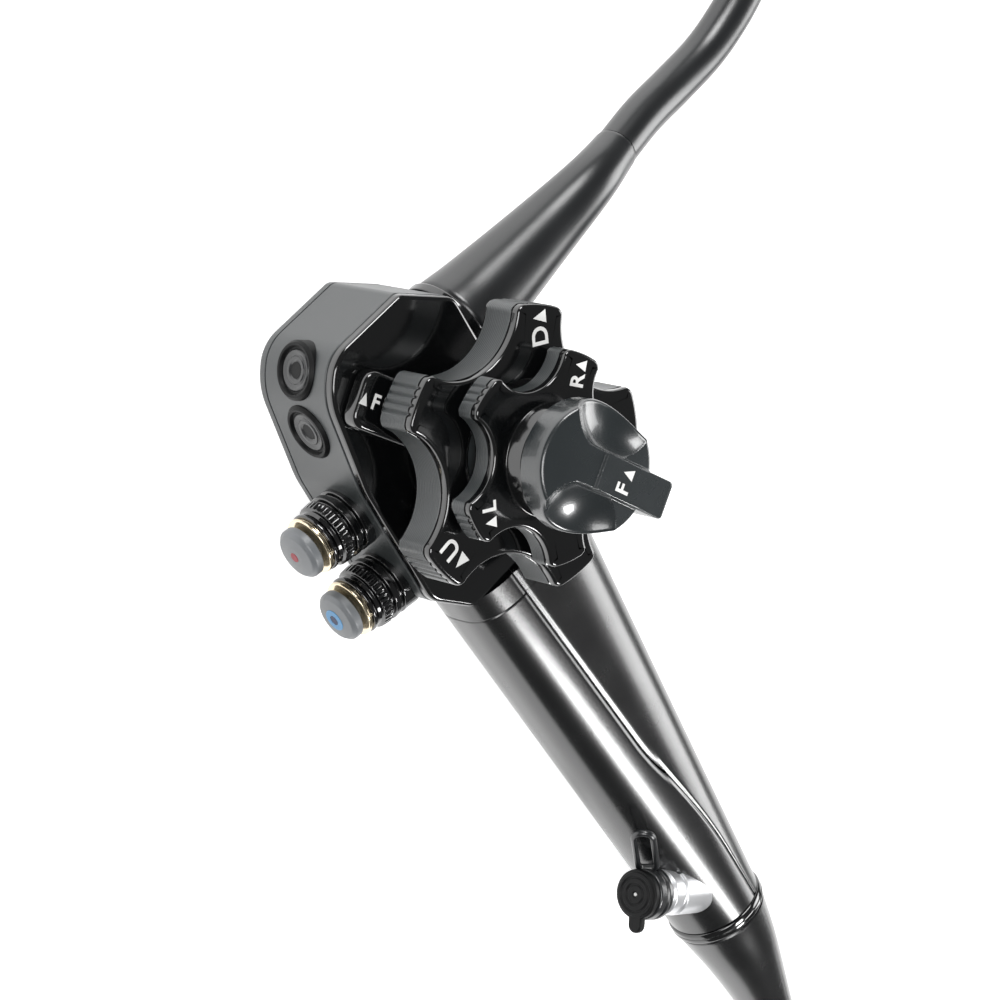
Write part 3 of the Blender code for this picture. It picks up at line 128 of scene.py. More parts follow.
# Cords, in mm: points of the routes, as in the solids
ROUTE_STEP, INSERTION_TIP_R = 3.0, 6.0
CORD_Y, CORD_Z, CORD_WALL_X, CORD_COLLAR_WIDTH, CORD_BOOT_R = 17.0, 14.0, 14.5, 2.4, 11.3
COIL_CENTRE, COIL_STEP_ANGLE = (174.0, -215.7), 9.0
COIL_COLUMNS = (46.8, 57.2)
INSERTION_LAYERS, CORD_LAYERS = (4.95, 15.1), (25.4, 35.8)
INSERTION_RUN = [(0.0, -190.3, 10.4), (0.0, -195.0, 9.7), (0.0, -200.6, 8.8)]
INSERTION_TURN_R = 69.0
INSERTION_TURN = [(13, 7.2), (26, 6.0), (40, 5.3), (55, 5.0), (70, 4.95), (86, 4.95)]
INSERTION_APPROACH = [(95.0, -269.6, 4.95), (120.0, -267.6, 4.95), (146.0, -265.0, 4.95)]
INSERTION_COIL = [(-90, 0, 0), (125, 0, 0), (215, 0, 1), (395, 0, 1), (485, 1, 1), (628, 1, 1), (708, 1, 0),
                  (720, 1, 0)]
INSERTION_EXIT = [(231.2, -205.0, 5.0), (231.2, -192.3, 5.1)]
BEND_FROM, BEND_COLLAR, BEND_PITCH, BEND_JOINTS = (231.2, -192.0, 5.1), 4.6, 7.5, 10
SLEEVE_R, SLEEVE_PAST_TIP = 4.85, 1.6
CORD_RUN = [(78.0, 18.6, 11.8), (90.0, 18.4, 9.2), (103.0, 17.2, 6.8), (116.0, 17.0, 5.4),
            (128.0, 19.5, 5.15), (143.5, 24.8, 5.1)]
CORD_BEND, CORD_BEND_ANGLES = (170.0, -22.5, 49.5), (100, 78, 56, 34, 12, -10, -32)
CORD_APPROACH = [(200.0, -67.5, 5.6), (184.0, -93.0, 8.5), (168.0, -118.5, 15.0), (152.0, -144.0, 22.5),
                 (140.5, -162.3, 25.3)]
CORD_COIL = [(148, 1, 0), (380, 1, 0), (470, 0, 0), (650, 0, 0), (740, 0, 1), (915, 0, 1), (1005, 1, 1),
             (1255, 1, 1)]
CORD_LEAVE = (116.9, -223.0, 36.1)
CORD_LAST_TURN = (163.5, -236.0, 45.0)
CORD_LAST_HEIGHTS = (36.8, 38.4, 41.0, 44.5, 48.5, 52.3, 55.6, 58.0, 59.5, 60.0)
CORD_STOP = (208.5, -232.0, 60.0)
CONNECTOR_FROM = (208.5, -231.7, 60.0)


# Arrays

def unit(vector):
    """The vector divided by its length, along the last axis."""
    vector = np.asarray(vector, float)
    return vector / np.linalg.norm(vector, axis=-1, keepdims=True)


def polar(radius, degrees):
    """Points at a radius and an angle from +X: (radius cos, radius sin)."""
    turn = np.radians(degrees)
    return np.stack(np.broadcast_arrays(radius * np.cos(turn), radius * np.sin(turn)), -1)


def smooth(low, high, x):
    """Smooth step 3t^2 - 2t^3, where t runs from 0 at low to 1 at high."""
    t = np.clip((np.asarray(x, float) - low) / (high - low), 0.0, 1.0)
    return t * t * (3.0 - 2.0 * t)


def filleted(corners, closed=False, steps=4, support=0.08):
    """Line through (x, y, radius) corners, each corner an arc with a support point before and after it.

    An arc is the spherical blend of its first and last spoke about the corner's inner centre.
    """
    points = np.array([c[:2] for c in corners], float)
    radii = [c[2] if len(c) > 2 else 0.0 for c in corners]
    pieces = []
    for i, here in enumerate(points):
        if radii[i] == 0.0 or (not closed and i in (0, len(points) - 1)):
            pieces.append(here[None])
            continue
        before, after = points[i - 1] - here, points[(i + 1) % len(points)] - here
        room = 0.48 * min(np.linalg.norm(before), np.linalg.norm(after))
        before, after = unit(before), unit(after)
        half = math.acos(np.clip(before @ after, -1.0, 1.0)) / 2
        reach = min(radii[i] / math.tan(half), room)
        centre = here + unit(before + after) * reach / math.cos(half)
        first, last = here + before * reach - centre, here + after * reach - centre
        sweep = math.pi - 2 * half
        t = np.linspace(0.0, 1.0, steps + 1)[:, None]
        bow = centre + (np.sin((1 - t) * sweep) * first + np.sin(t * sweep) * last) / math.sin(sweep)
        spare = min(support, room - reach)
        pieces.append(np.concatenate([(here + before * (reach + spare))[None], bow,
                                      (here + after * (reach + spare))[None]]))
    return apart(np.concatenate(pieces), closed)


def apart(line, closed=False):
    """A line without the points that lie nearer than 0.0005 mm to the one before."""
    line = np.asarray(line, float)
    gaps = np.linalg.norm(line - np.roll(line, 1, 0), axis=1)
    keep = gaps > 5e-4
    if not closed:
        keep[0] = True
    return line[keep]


def dense(line, step, closed=False):
    """A line with points added so that no chord is longer than a step: linear blends of its corners."""
    line = np.asarray(line, float)
    if closed:
        line = np.concatenate([line, line[:1]])
    length = np.linalg.norm(np.diff(line, axis=0), axis=1)
    along = np.concatenate([[0.0], np.cumsum(length)])
    inner = [np.linspace(a, b, max(2, math.ceil((b - a) / step) + 1))[:-1] for a, b in zip(along, along[1:])]
    places = np.concatenate([*inner, along[-1:]])
    made = np.stack([np.interp(places, along, line[:, k]) for k in range(line.shape[1])], -1)
    return apart(made[:-1] if closed else made, closed)


def spline(knots, step):
    """Even points, about a step apart, on the Catmull-Rom curve through the knots."""
    knots = np.asarray(knots, float)
    full = np.concatenate([2 * knots[:1] - knots[1:2], knots, 2 * knots[-1:] - knots[-2:-1]])
    a, b, c, d = (full[i:len(full) - 3 + i, None] for i in range(4))
    t = np.linspace(0.0, 1.0, 25)[None, :-1, None]
    fine = 0.5 * (2 * b + (c - a) * t + (2 * a - 5 * b + 4 * c - d) * t ** 2
                  + (3 * b - a - 3 * c + d) * t ** 3)
    fine = np.concatenate([fine.reshape(-1, 3), knots[-1:]])
    along = np.concatenate([[0.0], np.cumsum(np.linalg.norm(np.diff(fine, axis=0), axis=1))])
    places = np.linspace(0.0, along[-1], max(2, round(along[-1] / step) + 1))
    return np.stack([np.interp(places, along, fine[:, k]) for k in range(3)], -1)


def basis(axis, towards=None):
    """Two directions across an axis: the first lies nearest to `towards`, the second is axis x first."""
    axis = unit(axis)
    if towards is None:
        towards = Z if abs(axis[2]) < 0.9 else np.array((1.0, 0.0, 0.0))
    first = unit(towards - axis * (axis @ towards))
    return first, np.cross(axis, first)


# Meshes

def skin(name, grid, finish, body, loop=False, bands=None, smooth_angle=40.0, along=None):
    """Mesh of a grid of points, in mm: rows run along the piece, and each row is a closed ring.

    Each quad joins points (i, j), (i, j+1), (i+1, j+1), (i+1, j). The end rings are capped by one face each,
    or joined to each other in a loop. Bands give the number of the finish for each row of quads.
    """
    rows, count, _ = grid.shape
    index = np.arange(rows * count).reshape(rows, count)
    low, high = (index, np.roll(index, -1, 0)) if loop else (index[:-1], index[1:])
    quads = np.stack([low, np.roll(low, -1, 1), np.roll(high, -1, 1), high], -1).reshape(-1, 4)
    faces = quads.tolist()
    if not loop:
        faces += [index[0, ::-1].tolist(), index[-1].tolist()]
    mesh = bpy.data.meshes.new(name)
    mesh.from_pydata((grid.reshape(-1, 3) * MM).tolist(), [], faces)
    if bands is not None:
        bands = np.asarray(bands, np.int32)
        mesh.polygons.foreach_set("material_index", np.concatenate([np.repeat(bands, count), bands[[0, -1]]]))
    if along is not None:
        places = mesh.attributes.new("along", "FLOAT", "POINT")
        places.data.foreach_set("value", np.repeat(np.asarray(along, np.float32), count))
    return settle(name, mesh, finish, body, smooth_angle)


def settle(name, mesh, finish, body, smooth_angle=40.0):
    """Merge doubled points, turn the faces outwards, shade smooth up to an angle and ride on a body."""
    made = bmesh.new()
    made.from_mesh(mesh)
    bmesh.ops.remove_doubles(made, verts=made.verts, dist=1e-6)
    bmesh.ops.dissolve_degenerate(made, edges=made.edges, dist=1e-7)
    bmesh.ops.recalc_face_normals(made, faces=made.faces)
    made.to_mesh(mesh)
    made.free()
    mesh.shade_smooth()
    mesh.set_sharp_from_angle(angle=math.radians(smooth_angle))
    piece = bpy.data.objects.new(name, mesh)
    bpy.context.scene.collection.objects.link(piece)
    for each in (finish if isinstance(finish, tuple) else (finish,)):
        mesh.materials.append(FINISH[each])
    if body is not None:
        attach(piece, body)
    return piece


def turned(name, profile, base, axis, finish, body, count=72, towards=None, flutes=None):
    """A profile of (radius, height) pairs carried round an axis: base + height axis + radius spoke(angle).

    Flutes (number, depth, low, high) deepen the radius by depth cos^8 between two heights.
    """
    radius, height = np.asarray(profile, float).T
    first, second = basis(axis, towards)
    angle = np.linspace(0.0, TAU, count, endpoint=False)
    spokes = np.cos(angle)[:, None] * first + np.sin(angle)[:, None] * second
    radius = np.repeat(radius[:, None], count, 1)
    if flutes:
        number, depth, low, high = flutes
        share = smooth(low, low + 0.6, height) * (1.0 - smooth(high - 0.6, high, height))
        radius = radius - depth * share[:, None] * np.cos(angle * number / 2)[None] ** 8 * (radius > 0.5)
    grid = np.asarray(base, float) + height[:, None, None] * unit(axis) + radius[..., None] * spokes
    return skin(name, grid, finish, body)


def swept(name, path, radius, finish, body, count=32):
    """Round section carried along a path: point + radius (side cos + up sin), side = Z x tangent."""
    path = np.asarray(path, float)
    tangent = unit(np.gradient(path, axis=0))
    side = unit(np.cross(Z, tangent))
    up = np.cross(tangent, side)
    angle = np.linspace(0.0, TAU, count, endpoint=False)
    ring = side[:, None] * np.cos(angle)[None, :, None] + up[:, None] * np.sin(angle)[None, :, None]
    radius = np.broadcast_to(np.asarray(radius, float), len(path))
    grid = path[:, None] + radius[:, None, None] * ring
    along = np.concatenate([[0.0], np.cumsum(np.linalg.norm(np.diff(path, axis=0), axis=1))]) * MM
    return skin(name, grid, finish, body, along=along)


def inwards(outline):
    """Unit directions to the inner side of an anticlockwise outline: its halved corners."""
    ahead = unit(np.roll(outline, -1, 0) - outline)
    behind = unit(outline - np.roll(outline, 1, 0))
    return unit(ahead + behind)[:, ::-1] * (-1.0, 1.0)


def prism(name, outline, profile, finish, body, frame_at=None, smooth_angle=40.0):
    """An outline carried through (inset, height) pairs, moved inwards along its own normals by each inset.

    frame_at is (base, direction of the outline's X, direction of its heights), for a piece that isn't level.
    """
    outline = np.asarray(outline, float)
    inset, height = np.asarray(profile, float).T
    flat = outline[None] + inset[:, None, None] * inwards(outline)[None]
    grid = np.concatenate([flat, np.broadcast_to(height[:, None, None], (*flat.shape[:2], 1))], -1)
    if frame_at:
        base, along, normal = (np.asarray(v, float) for v in frame_at)
        grid = base + grid @ np.stack([along, np.cross(normal, along), normal])
    return skin(name, grid, finish, body, smooth_angle=smooth_angle)


# Materials

# Size of the slow patches of colour and gloss, in mm
MOTTLE_MM = 9.0


def linear(code):
    """sRGB hex to linear RGBA: c / 12.92 below 0.04045, and ((c + 0.055) / 1.055)^2.4 above."""
    values = [int(code[i:i + 2], 16) / 255 for i in (1, 3, 5)]
    return (*[c / 12.92 if c <= 0.04045 else ((c + 0.055) / 1.055) ** 2.4 for c in values], 1.0)


def add(tree, kind, inputs=None, **settings):
    """One node with its settings; an input is a value or another node's output."""
    made = tree.nodes.new(kind)
    for key, value in settings.items():
        setattr(made, key, value)
    for key, value in (inputs or {}).items():
        if isinstance(value, bpy.types.NodeSocket):
            tree.links.new(value, made.inputs[key])
        else:
            made.inputs[key].default_value = value
    return made


def surface(name, colour, roughness, grain_mm, grain, mottling, lines=None, rings=None, **sockets):
    """Principled material with a noise grain of a real size as bump and a slow mottling of colour and gloss.

    Lines (period in mm, strength) add drag lines across Z. Rings (period, width, colour) print a ring at each
    period along the mesh's own "along" value.
    """
    material = bpy.data.materials.new(name)
    material.use_nodes = True
    tree = material.node_tree
    shader = tree.nodes["Principled BSDF"]
    colour = tuple(colour)
    for key, value in sockets.items():
        shader.inputs[key.replace("_", " ")].default_value = value
    place = add(tree, "ShaderNodeTexCoord").outputs["Object"]
    slow = add(tree, "ShaderNodeTexNoise", {"Vector": place, "Scale": 1 / (MOTTLE_MM * MM),
                                            "Detail": 4.0}).outputs[0]
    pale = tuple(min(1.0, c * (1.0 + mottling) + 0.0006) for c in colour[:3]) + (1.0,)
    tint = add(tree, "ShaderNodeMix", {0: slow, 6: colour, 7: pale}, data_type="RGBA").outputs[2]
    if rings:
        along = add(tree, "ShaderNodeAttribute", attribute_name="along").outputs["Fac"]
        cycle = add(tree, "ShaderNodeMath", {0: along, 1: rings[0] * MM}, operation="MODULO").outputs[0]
        printed = add(tree, "ShaderNodeMath", {0: cycle, 1: rings[1] * MM}, operation="LESS_THAN").outputs[0]
        tint = add(tree, "ShaderNodeMix", {0: printed, 6: tint, 7: tuple(rings[2])},
                   data_type="RGBA").outputs[2]
    rough = add(tree, "ShaderNodeMapRange", {"Value": slow, "To Min": roughness * 0.85,
                                             "To Max": roughness * 1.15}).outputs["Result"]
    relief = add(tree, "ShaderNodeTexNoise", {"Vector": place, "Scale": 1 / (grain_mm * MM),
                                              "Detail": 2.0}).outputs[0]
    if lines:
        # A wave texture of scale 1 repeats after 2 pi / 20
        wave = add(tree, "ShaderNodeTexWave", {"Vector": place, "Scale": TAU / 20 / (lines[0] * MM),
                                               "Distortion": 0.4, "Detail Scale": 2.0},
                   wave_type="BANDS", bands_direction="Z").outputs["Fac"]
        wave = add(tree, "ShaderNodeMath", {0: wave, 1: lines[1]}, operation="MULTIPLY").outputs[0]
        relief = add(tree, "ShaderNodeMath", {0: relief, 1: wave}, operation="ADD").outputs[0]
    bump = add(tree, "ShaderNodeBump", {"Height": relief, "Strength": grain,
                                        "Distance": grain_mm * 0.25 * MM})
    tree.links.new(tint, shader.inputs["Base Color"])
    tree.links.new(rough, shader.inputs["Roughness"])
    tree.links.new(bump.outputs["Normal"], shader.inputs["Normal"])
    return material


FINISH = {}


def make_materials(s):
    """All finishes of the object by the names that the pieces ask for."""
    gloss = {"Specular_IOR_Level": 0.9, "Coat_Weight": 0.4, "Coat_Roughness": 0.06}
    satin = {"Specular_IOR_Level": 1.0}
    FINISH.update({
        # Moulded plastic from a finely sand-blasted mould: an even silky grey where it turns to the light.
        # The grey base colour is partly the plastic's own look and partly a painted reflection of the pale
        # floor
        "moulded": surface("black moulded plastic, sand-blasted mould", s.housing_colour, 0.36, 0.35, 0.3,
                           0.25, **satin),
        # The same plastic from a polished mould: black, with sharp bright edges
        "polished": surface("black moulded plastic, polished mould", s.gloss_colour, 0.12, 0.8, 0.03, 0.3,
                            **gloss),
        # Grip shells: moulded and waxed by handling, with a broad soft highlight along the crest
        "grip": surface("black moulded plastic, silky mould", s.gloss_colour, 0.26, 0.5, 0.08, 0.4,
                        Specular_IOR_Level=1.0, Coat_Weight=0.25, Coat_Roughness=0.12),
        # Wheels' walls: turned mould with drag lines across the wall, matt, and greyer than the faces. The
        # grey is partly the matt mould's own look and partly painted light for the pale floor that the walls
        # mirror
        "wall": surface("black moulded plastic, lined mould", s.housing_colour, 0.34, 0.45, 0.35, 0.3,
                        lines=(0.55, 1.6), **satin),
        # Knob: the silky mould again, a little greyer, so that its dishes shade from dark to bright
        "knob": surface("black moulded plastic, satin mould", s.knob_colour, 0.27, 0.5, 0.08, 0.3, **gloss),
        # Soft rubber of the lid: nearly black, dull, so that only the edges of its rings show
        "lid": surface("black soft rubber, dull", s.gloss_colour, 0.5, 0.6, 0.1, 0.3,
                       Specular_IOR_Level=0.25),
        # Fluorine rubber, moulded: black with a soft sheen
        "rubber": surface("black moulded rubber", s.rubber_colour, 0.30, 0.6, 0.15, 0.3, **satin),
        # Polyurethane outer coat of the tubes: smooth, wet-looking
        "tube": surface("black polyurethane tube coat", s.rubber_colour, 0.3, 1.2, 0.03, 0.2, **satin),
        # The same coat with a depth ring printed every 50 mm
        "insertion": surface("black polyurethane tube coat, printed rings", s.rubber_colour, 0.28, 1.2, 0.05,
                             0.2, rings=(50.0, 1.2, s.mark_colour), **satin),
        # Silicone caps of the valve buttons: silky and pale in white light
        "cap": surface("grey-black silicone, moulded", s.cap_colour, 0.42, 0.4, 0.2, 0.2, **satin),
        # Stainless steel, turned and polished: bright bands between dark ones
        "steel": surface("stainless steel, turned", s.steel_colour, 0.34, 0.25, 0.05, 0.05, Metallic=0.75),
        # Pale gilt brass of the valve rings
        "gilt": surface("gilt brass, polished", s.ring_colour, 0.18, 0.3, 0.04, 0.1, Metallic=1.0),
        # Paint run into engraved marks: flat white. The same white also paints the highlight in the lid's pin
        # hole
        "white": surface("white paint fill", s.mark_colour, 0.5, 0.3, 0.15, 0.03),
        "red": surface("red paint dot", linear("#A8454D"), 0.5, 0.3, 0.1, 0.1),
        "blue": surface("pale blue printed ring", linear("#6FA9D8"), 0.45, 0.3, 0.1, 0.1),
        "navy": surface("dark blue printed dot", linear("#10204A"), 0.45, 0.3, 0.1, 0.1),
        # Coated cover glass over dark optics
        "glass": surface("coated lens glass", linear("#0A0F1C"), 0.04, 0.8, 0.01, 0.2, Coat_Weight=1.0),
    })


# Pieces: cords

def wound(stations, layers):
    """Points of a coil: radius and height ease by 3t^2 - 2t^3 from station to station, the angle evenly."""
    pieces = []
    for (a0, column0, layer0), (a1, column1, layer1) in zip(stations, stations[1:]):
        count = max(1, round((a1 - a0) / COIL_STEP_ANGLE))
        t = np.arange(count + (a1 == stations[-1][0])) / count
        ease = t * t * (3.0 - 2.0 * t)
        radius = COIL_COLUMNS[column0] + (COIL_COLUMNS[column1] - COIL_COLUMNS[column0]) * ease
        height = layers[layer0] + (layers[layer1] - layers[layer0]) * ease
        flat = np.array(COIL_CENTRE) + polar(radius, a0 + (a1 - a0) * t)
        pieces.append(np.concatenate([flat, height[:, None]], -1))
    return np.concatenate(pieces)


def universal_route():
    """Run from the boot, the bend beside the head, the coil, and the last turn up to the connector."""
    x, y, radius = CORD_BEND
    bend = np.array([(x, y, CORD_RUN[-1][2])] * len(CORD_BEND_ANGLES))
    bend[:, :2] += polar(radius, np.array(CORD_BEND_ANGLES, float))
    x, y, radius = CORD_LAST_TURN
    last = np.array([(x, y, z) for z in CORD_LAST_HEIGHTS])
    last[:, :2] -= polar(radius, np.linspace(0.0, 180.0, len(last)))
    return spline(np.concatenate([CORD_RUN, bend, CORD_APPROACH, wound(CORD_COIL, CORD_LAYERS), [CORD_LEAVE],
                                  last, [CORD_STOP]]), ROUTE_STEP)


def insertion_route():
    """Run from the boot, the wide turn to the coil, the coil, and the straight end."""
    degrees, height = np.array(INSERTION_TURN, float).T
    arc = polar(INSERTION_TURN_R, degrees)
    turn = np.stack([INSERTION_TURN_R - arc[:, 0], INSERTION_RUN[-1][1] - arc[:, 1], height], -1)
    return spline(np.concatenate([INSERTION_RUN, turn, INSERTION_APPROACH,
                                  wound(INSERTION_COIL, INSERTION_LAYERS), INSERTION_EXIT]), ROUTE_STEP)


def build_cords(s):
    """Both cords on their whole routes, in place of their straight runs and coils."""
    cord = swept("universal_cord_skin", universal_route(), s.cord_diameter / MM / 2, "tube", ROOT, 48)
    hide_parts("universal_cord", "universal_coil", "universal_cord_end")
    tube = swept("insertion_tube_skin", insertion_route(), s.tube_diameter / MM / 2, "insertion", ROOT, 48)
    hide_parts("insertion_tube", "insertion_coil", "insertion_tube_end")


def shown(*starts):
    """Objects of the render whose names begin so."""
    return [o for o in bpy.data.objects if o.name.startswith(starts) and not o.hide_render]


def declare_cords(s):
    """Gather each cord's route, thickness, end, stiffness and the pieces on it; nothing is done with them."""
    for name, path, diameter, end, stiffness, pieces in (
            ("universal_cord_skin", universal_route(), s.cord_diameter, "connector", "medium",
             shown("connector_", "light_guide_pin", "air_pipe")),
            ("insertion_tube_skin", insertion_route(), s.tube_diameter, "tool", "stiff",
             shown("sleeve_", "bending_", "distal_", "objective", "light_lens"))):
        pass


# Pieces: boots, collar and connector

def build_boots(s):
    """Tapered boots of both cords, the cord's collar and the grip's end ring."""
    boot_y = GRIP_END_Y - CLEAR - END_RING_WIDTH - CLEAR
    tip = np.array(INSERTION_RUN[0])
    path = spline([(0, boot_y, GRIP_Z), (0, boot_y - 12, GRIP_Z - 0.2), (0, boot_y - 26, GRIP_Z - 2.0),
                   (0, tip[1] + 0.3, tip[2] + 0.1)], 0.4)
    share = np.linspace(0, 1, len(path))
    radius = INSERTION_TIP_R + (GRIP_END_R - INSERTION_TIP_R) * (1 - share) ** 1.25
    radius = radius - 0.4 * (1 - smooth(0, 0.012, share)) - 0.9 * smooth(0.98, 1.0, share)
    boot = swept("insertion_boot_skin", path, radius, "grip", ROOT, 72)
    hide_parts("insertion_boot")

    base = np.array((CORD_WALL_X + CLEAR, CORD_Y, CORD_Z))
    collar = turned("cord_collar_skin", filleted([
        (0.0, CORD_COLLAR_WIDTH), (12.0, CORD_COLLAR_WIDTH, 0.6), (12.0, 0.0, 0.3), (0.0, 0.0)]), base,
        (1, 0, 0), "polished", ROOT, 96)
    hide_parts("cord_collar")
    x0 = base[0] + CORD_COLLAR_WIDTH + CLEAR
    tip, lead = np.array(CORD_RUN[0]), unit(np.subtract(CORD_RUN[1], CORD_RUN[0]))
    path = spline([(x0, CORD_Y, CORD_Z), (x0 + 9, CORD_Y, CORD_Z), (x0 + 30, CORD_Y + 0.8, CORD_Z + 0.2),
                   tip - lead * 13, tip - lead * CLEAR], 0.4)
    share = np.linspace(0, 1, len(path))
    end = s.cord_diameter / MM / 2 + 0.25
    radius = end + (CORD_BOOT_R - end) * (1 - share) ** 1.15
    radius = radius - 0.35 * (1 - smooth(0, 0.01, share)) - 0.15 * smooth(0.99, 1.0, share)
    boot = swept("cord_boot_skin", path, radius, "tube", ROOT, 72)
    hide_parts("cord_boot")

    ring = turned("grip_end_ring_skin", filleted([
        (0.0, END_RING_WIDTH), (12.0, END_RING_WIDTH, 0.7), (12.0, 1.7, 0.1), (11.75, 1.5, 0.1),
        (12.0, 1.3, 0.1), (12.0, 0.0, 0.7), (0.0, 0.0)]), (0, GRIP_END_Y - CLEAR, GRIP_Z), (0, -1, 0),
        "polished", ROOT, 96)
    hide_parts("grip_end_ring")


def build_connector():
    """Light-guide connector: boot, body with its rings, light-guide pin and air pipe."""
    axis = (0, 1, 0)
    boot = turned("connector_boot_skin", filleted([
        (0.0, 24.0), (10.0, 24.0, 0.8), (9.0, 12.0, 6.0), (5.7, 0.0, 0.6), (0.0, 0.0)]), CONNECTOR_FROM, axis,
        "rubber", ROOT)
    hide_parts("connector_boot")
    low, high, wide = 24.3, 70.3, 19.0
    body = turned("connector_body_skin", filleted([
        (0.0, high), (wide * 0.8, high, 0.8), (wide * 0.82, high - 3.0, 0.4), (wide * 0.78, high - 3.6, 0.3),
        (wide * 0.78, high - 5.0, 0.3), (wide * 0.83, high - 5.6, 0.4), (wide * 0.84, high - 8.0, 0.4),
        (wide * 0.97, high - 9.0, 0.8), (wide, high - 11.0, 1.0), (wide, low + 12.0, 4.0),
        (wide * 0.85, low + 4.0, 4.0), (11.0, low, 0.8), (0.0, low)]), CONNECTOR_FROM, axis,
        "knob", ROOT, 96, flutes=(36, 0.7, low + 14.0, low + 30.0))
    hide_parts("connector_body")
    base = np.array(CONNECTOR_FROM) + (0, 0, 3.5)
    pin_low = high + CLEAR
    pin = turned("light_guide_pin_skin", filleted([
        (0.0, pin_low + 28.0), (4.0, pin_low + 28.0, 0.4), (4.4, pin_low + 12.6, 0.5),
        (5.0, pin_low + 11.8, 0.3), (5.0, pin_low, 0.2), (0.0, pin_low)]), base, axis, "steel", ROOT)
    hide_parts("light_guide_pin")
    pipe = turned("air_pipe_skin", filleted([
        (0.0, pin_low + 14.0), (2.4, pin_low + 13.6, 0.5), (2.4, pin_low, 0.1), (0.0, pin_low)]),
        np.array(CONNECTOR_FROM) - (0, 0, 4.9), axis, "steel", ROOT, 40)
    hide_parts("air_pipe")


# Pieces: control wheels

def wheel_outline(tip, waist, width, angle, corner, ribs, depth):
    """Lobed outline and its grooves: at each lobe a tip arc between two corners, then a hollow arc.

    The hollow arc passes through the waist halfway between two lobes. A groove is a Gaussian dip at each
    place in ribs, in mm across the tip.
    """
    pitch = 360.0 / LOBES
    half = math.degrees(math.asin((width / 2 - corner) / (tip - corner)))
    side = polar(tip - corner, half)
    edge = side + polar(corner, half + CORNER_TURN)
    start = math.degrees(math.atan2(edge[1], edge[0]))
    reach = np.hypot(*edge)
    between = math.radians(pitch / 2 - start)
    chord, rise = reach * math.sin(between), reach * math.cos(between)
    hollow = (chord ** 2 + (rise - waist) ** 2) / (2 * (rise - waist))
    sweep = math.degrees(math.asin(min(0.999, chord / hollow)))
    before = np.linspace(-half - CORNER_TURN, -half, CORNER_STEPS + 1)[:-1]
    across = np.linspace(-half, half, TIP_STEPS + 1)
    after = np.linspace(half, half + CORNER_TURN, CORNER_STEPS + 1)[1:]
    turn = np.linspace(180.0 + sweep, 180.0 - sweep, HOLLOW_STEPS + 1)[1:-1]
    lobe = np.concatenate([polar(corner, before) + polar(tip - corner, -half), polar(tip, across),
                           polar(corner, after) + side,
                           polar(waist + hollow, pitch / 2) + polar(hollow, pitch / 2 + turn)])
    places = np.radians(across)[:, None] * tip - np.reshape(ribs, (1, -1))
    dips = np.zeros(len(lobe))
    dips[CORNER_STEPS:CORNER_STEPS + TIP_STEPS + 1] = depth * np.exp(-(places / RIB_GROOVE) ** 2).sum(1)
    spin = np.radians(angle + pitch * np.arange(LOBES))
    c, s = np.cos(spin)[:, None], np.sin(spin)[:, None]
    x, y = lobe[None, :, 0], lobe[None, :, 1]
    return np.stack([x * c - y * s, x * s + y * c], -1).reshape(-1, 2), np.tile(dips, LOBES)


def level_row(flat, height):
    """Points of a plane at one height."""
    return np.column_stack([flat, np.full(len(flat), height)])


def lobed(name, outline, dips, low, high, bevel, groove, hub, body):
    """Lobed wheel: level rows out from the axis below, the wall with its groove and bevels, the hub above.

    Between the wall's inner edge and the hub's first circle a row is (1 - share) edge + share circle.
    """
    inward = inwards(outline)
    wall = filleted([(bevel + 0.9, low), (0.0, low, bevel * 0.8), (0.0, high - groove, 0.08),
                     (0.4, high - groove + 0.15, 0.08), (0.4, high - groove + 0.45, 0.08),
                     (0.0, high - groove + 0.6, 0.08), (0.0, high, bevel), (bevel + 0.9, high)], steps=6,
                    support=0.04)
    # The wall's own rows carry the grooves, the bevels don't
    ribbed = (low + bevel * 0.8, high - groove + 0.7)
    rows = [level_row(outline + inward * (inset + dips * (ribbed[0] < z < ribbed[1]))[:, None], z)
            for inset, z in wall]
    # The hub's points are spread by the outline's length from the first tip on, so that no face is a sliver
    first_tip = CORNER_STEPS + TIP_STEPS // 2
    length = np.linalg.norm(np.roll(outline, -1, 0) - outline, axis=1)
    turn = TAU * (np.cumsum(length) - length - length[:first_tip].sum()) / length.sum() + math.atan2(
        outline[first_tip, 1], outline[first_tip, 0])
    spoke = np.stack([np.cos(turn), np.sin(turn)], -1)
    bottom, top = rows[0][:, :2], rows[-1][:, :2]
    inner = spoke * 8.0
    below = [level_row(spoke * 0.0, low), level_row(inner, low), level_row((bottom + inner) / 2, low)]
    above = [level_row(top * (1 - t) + spoke * hub[0][0] * t, high) for t in (0.2, 0.5, 0.8)]
    above += [level_row(spoke * r, z) for r, z in filleted(hub, steps=5, support=0.04)]
    grid = np.stack(below + rows + above)
    # Painted light: the wall's rows take the greyer wall finish and the faces above and below take the
    # near-black polished one, so the walls are painted lighter than the tops
    glossy = grid[:-1, 0, 2] + grid[1:, 0, 2] > 2 * (high - groove)
    under = grid[:-1, 0, 2] + grid[1:, 0, 2] < 2 * (low + bevel * 0.8)
    return skin(name, grid, ("wall", "polished"), body, bands=glossy | under, smooth_angle=35.0)


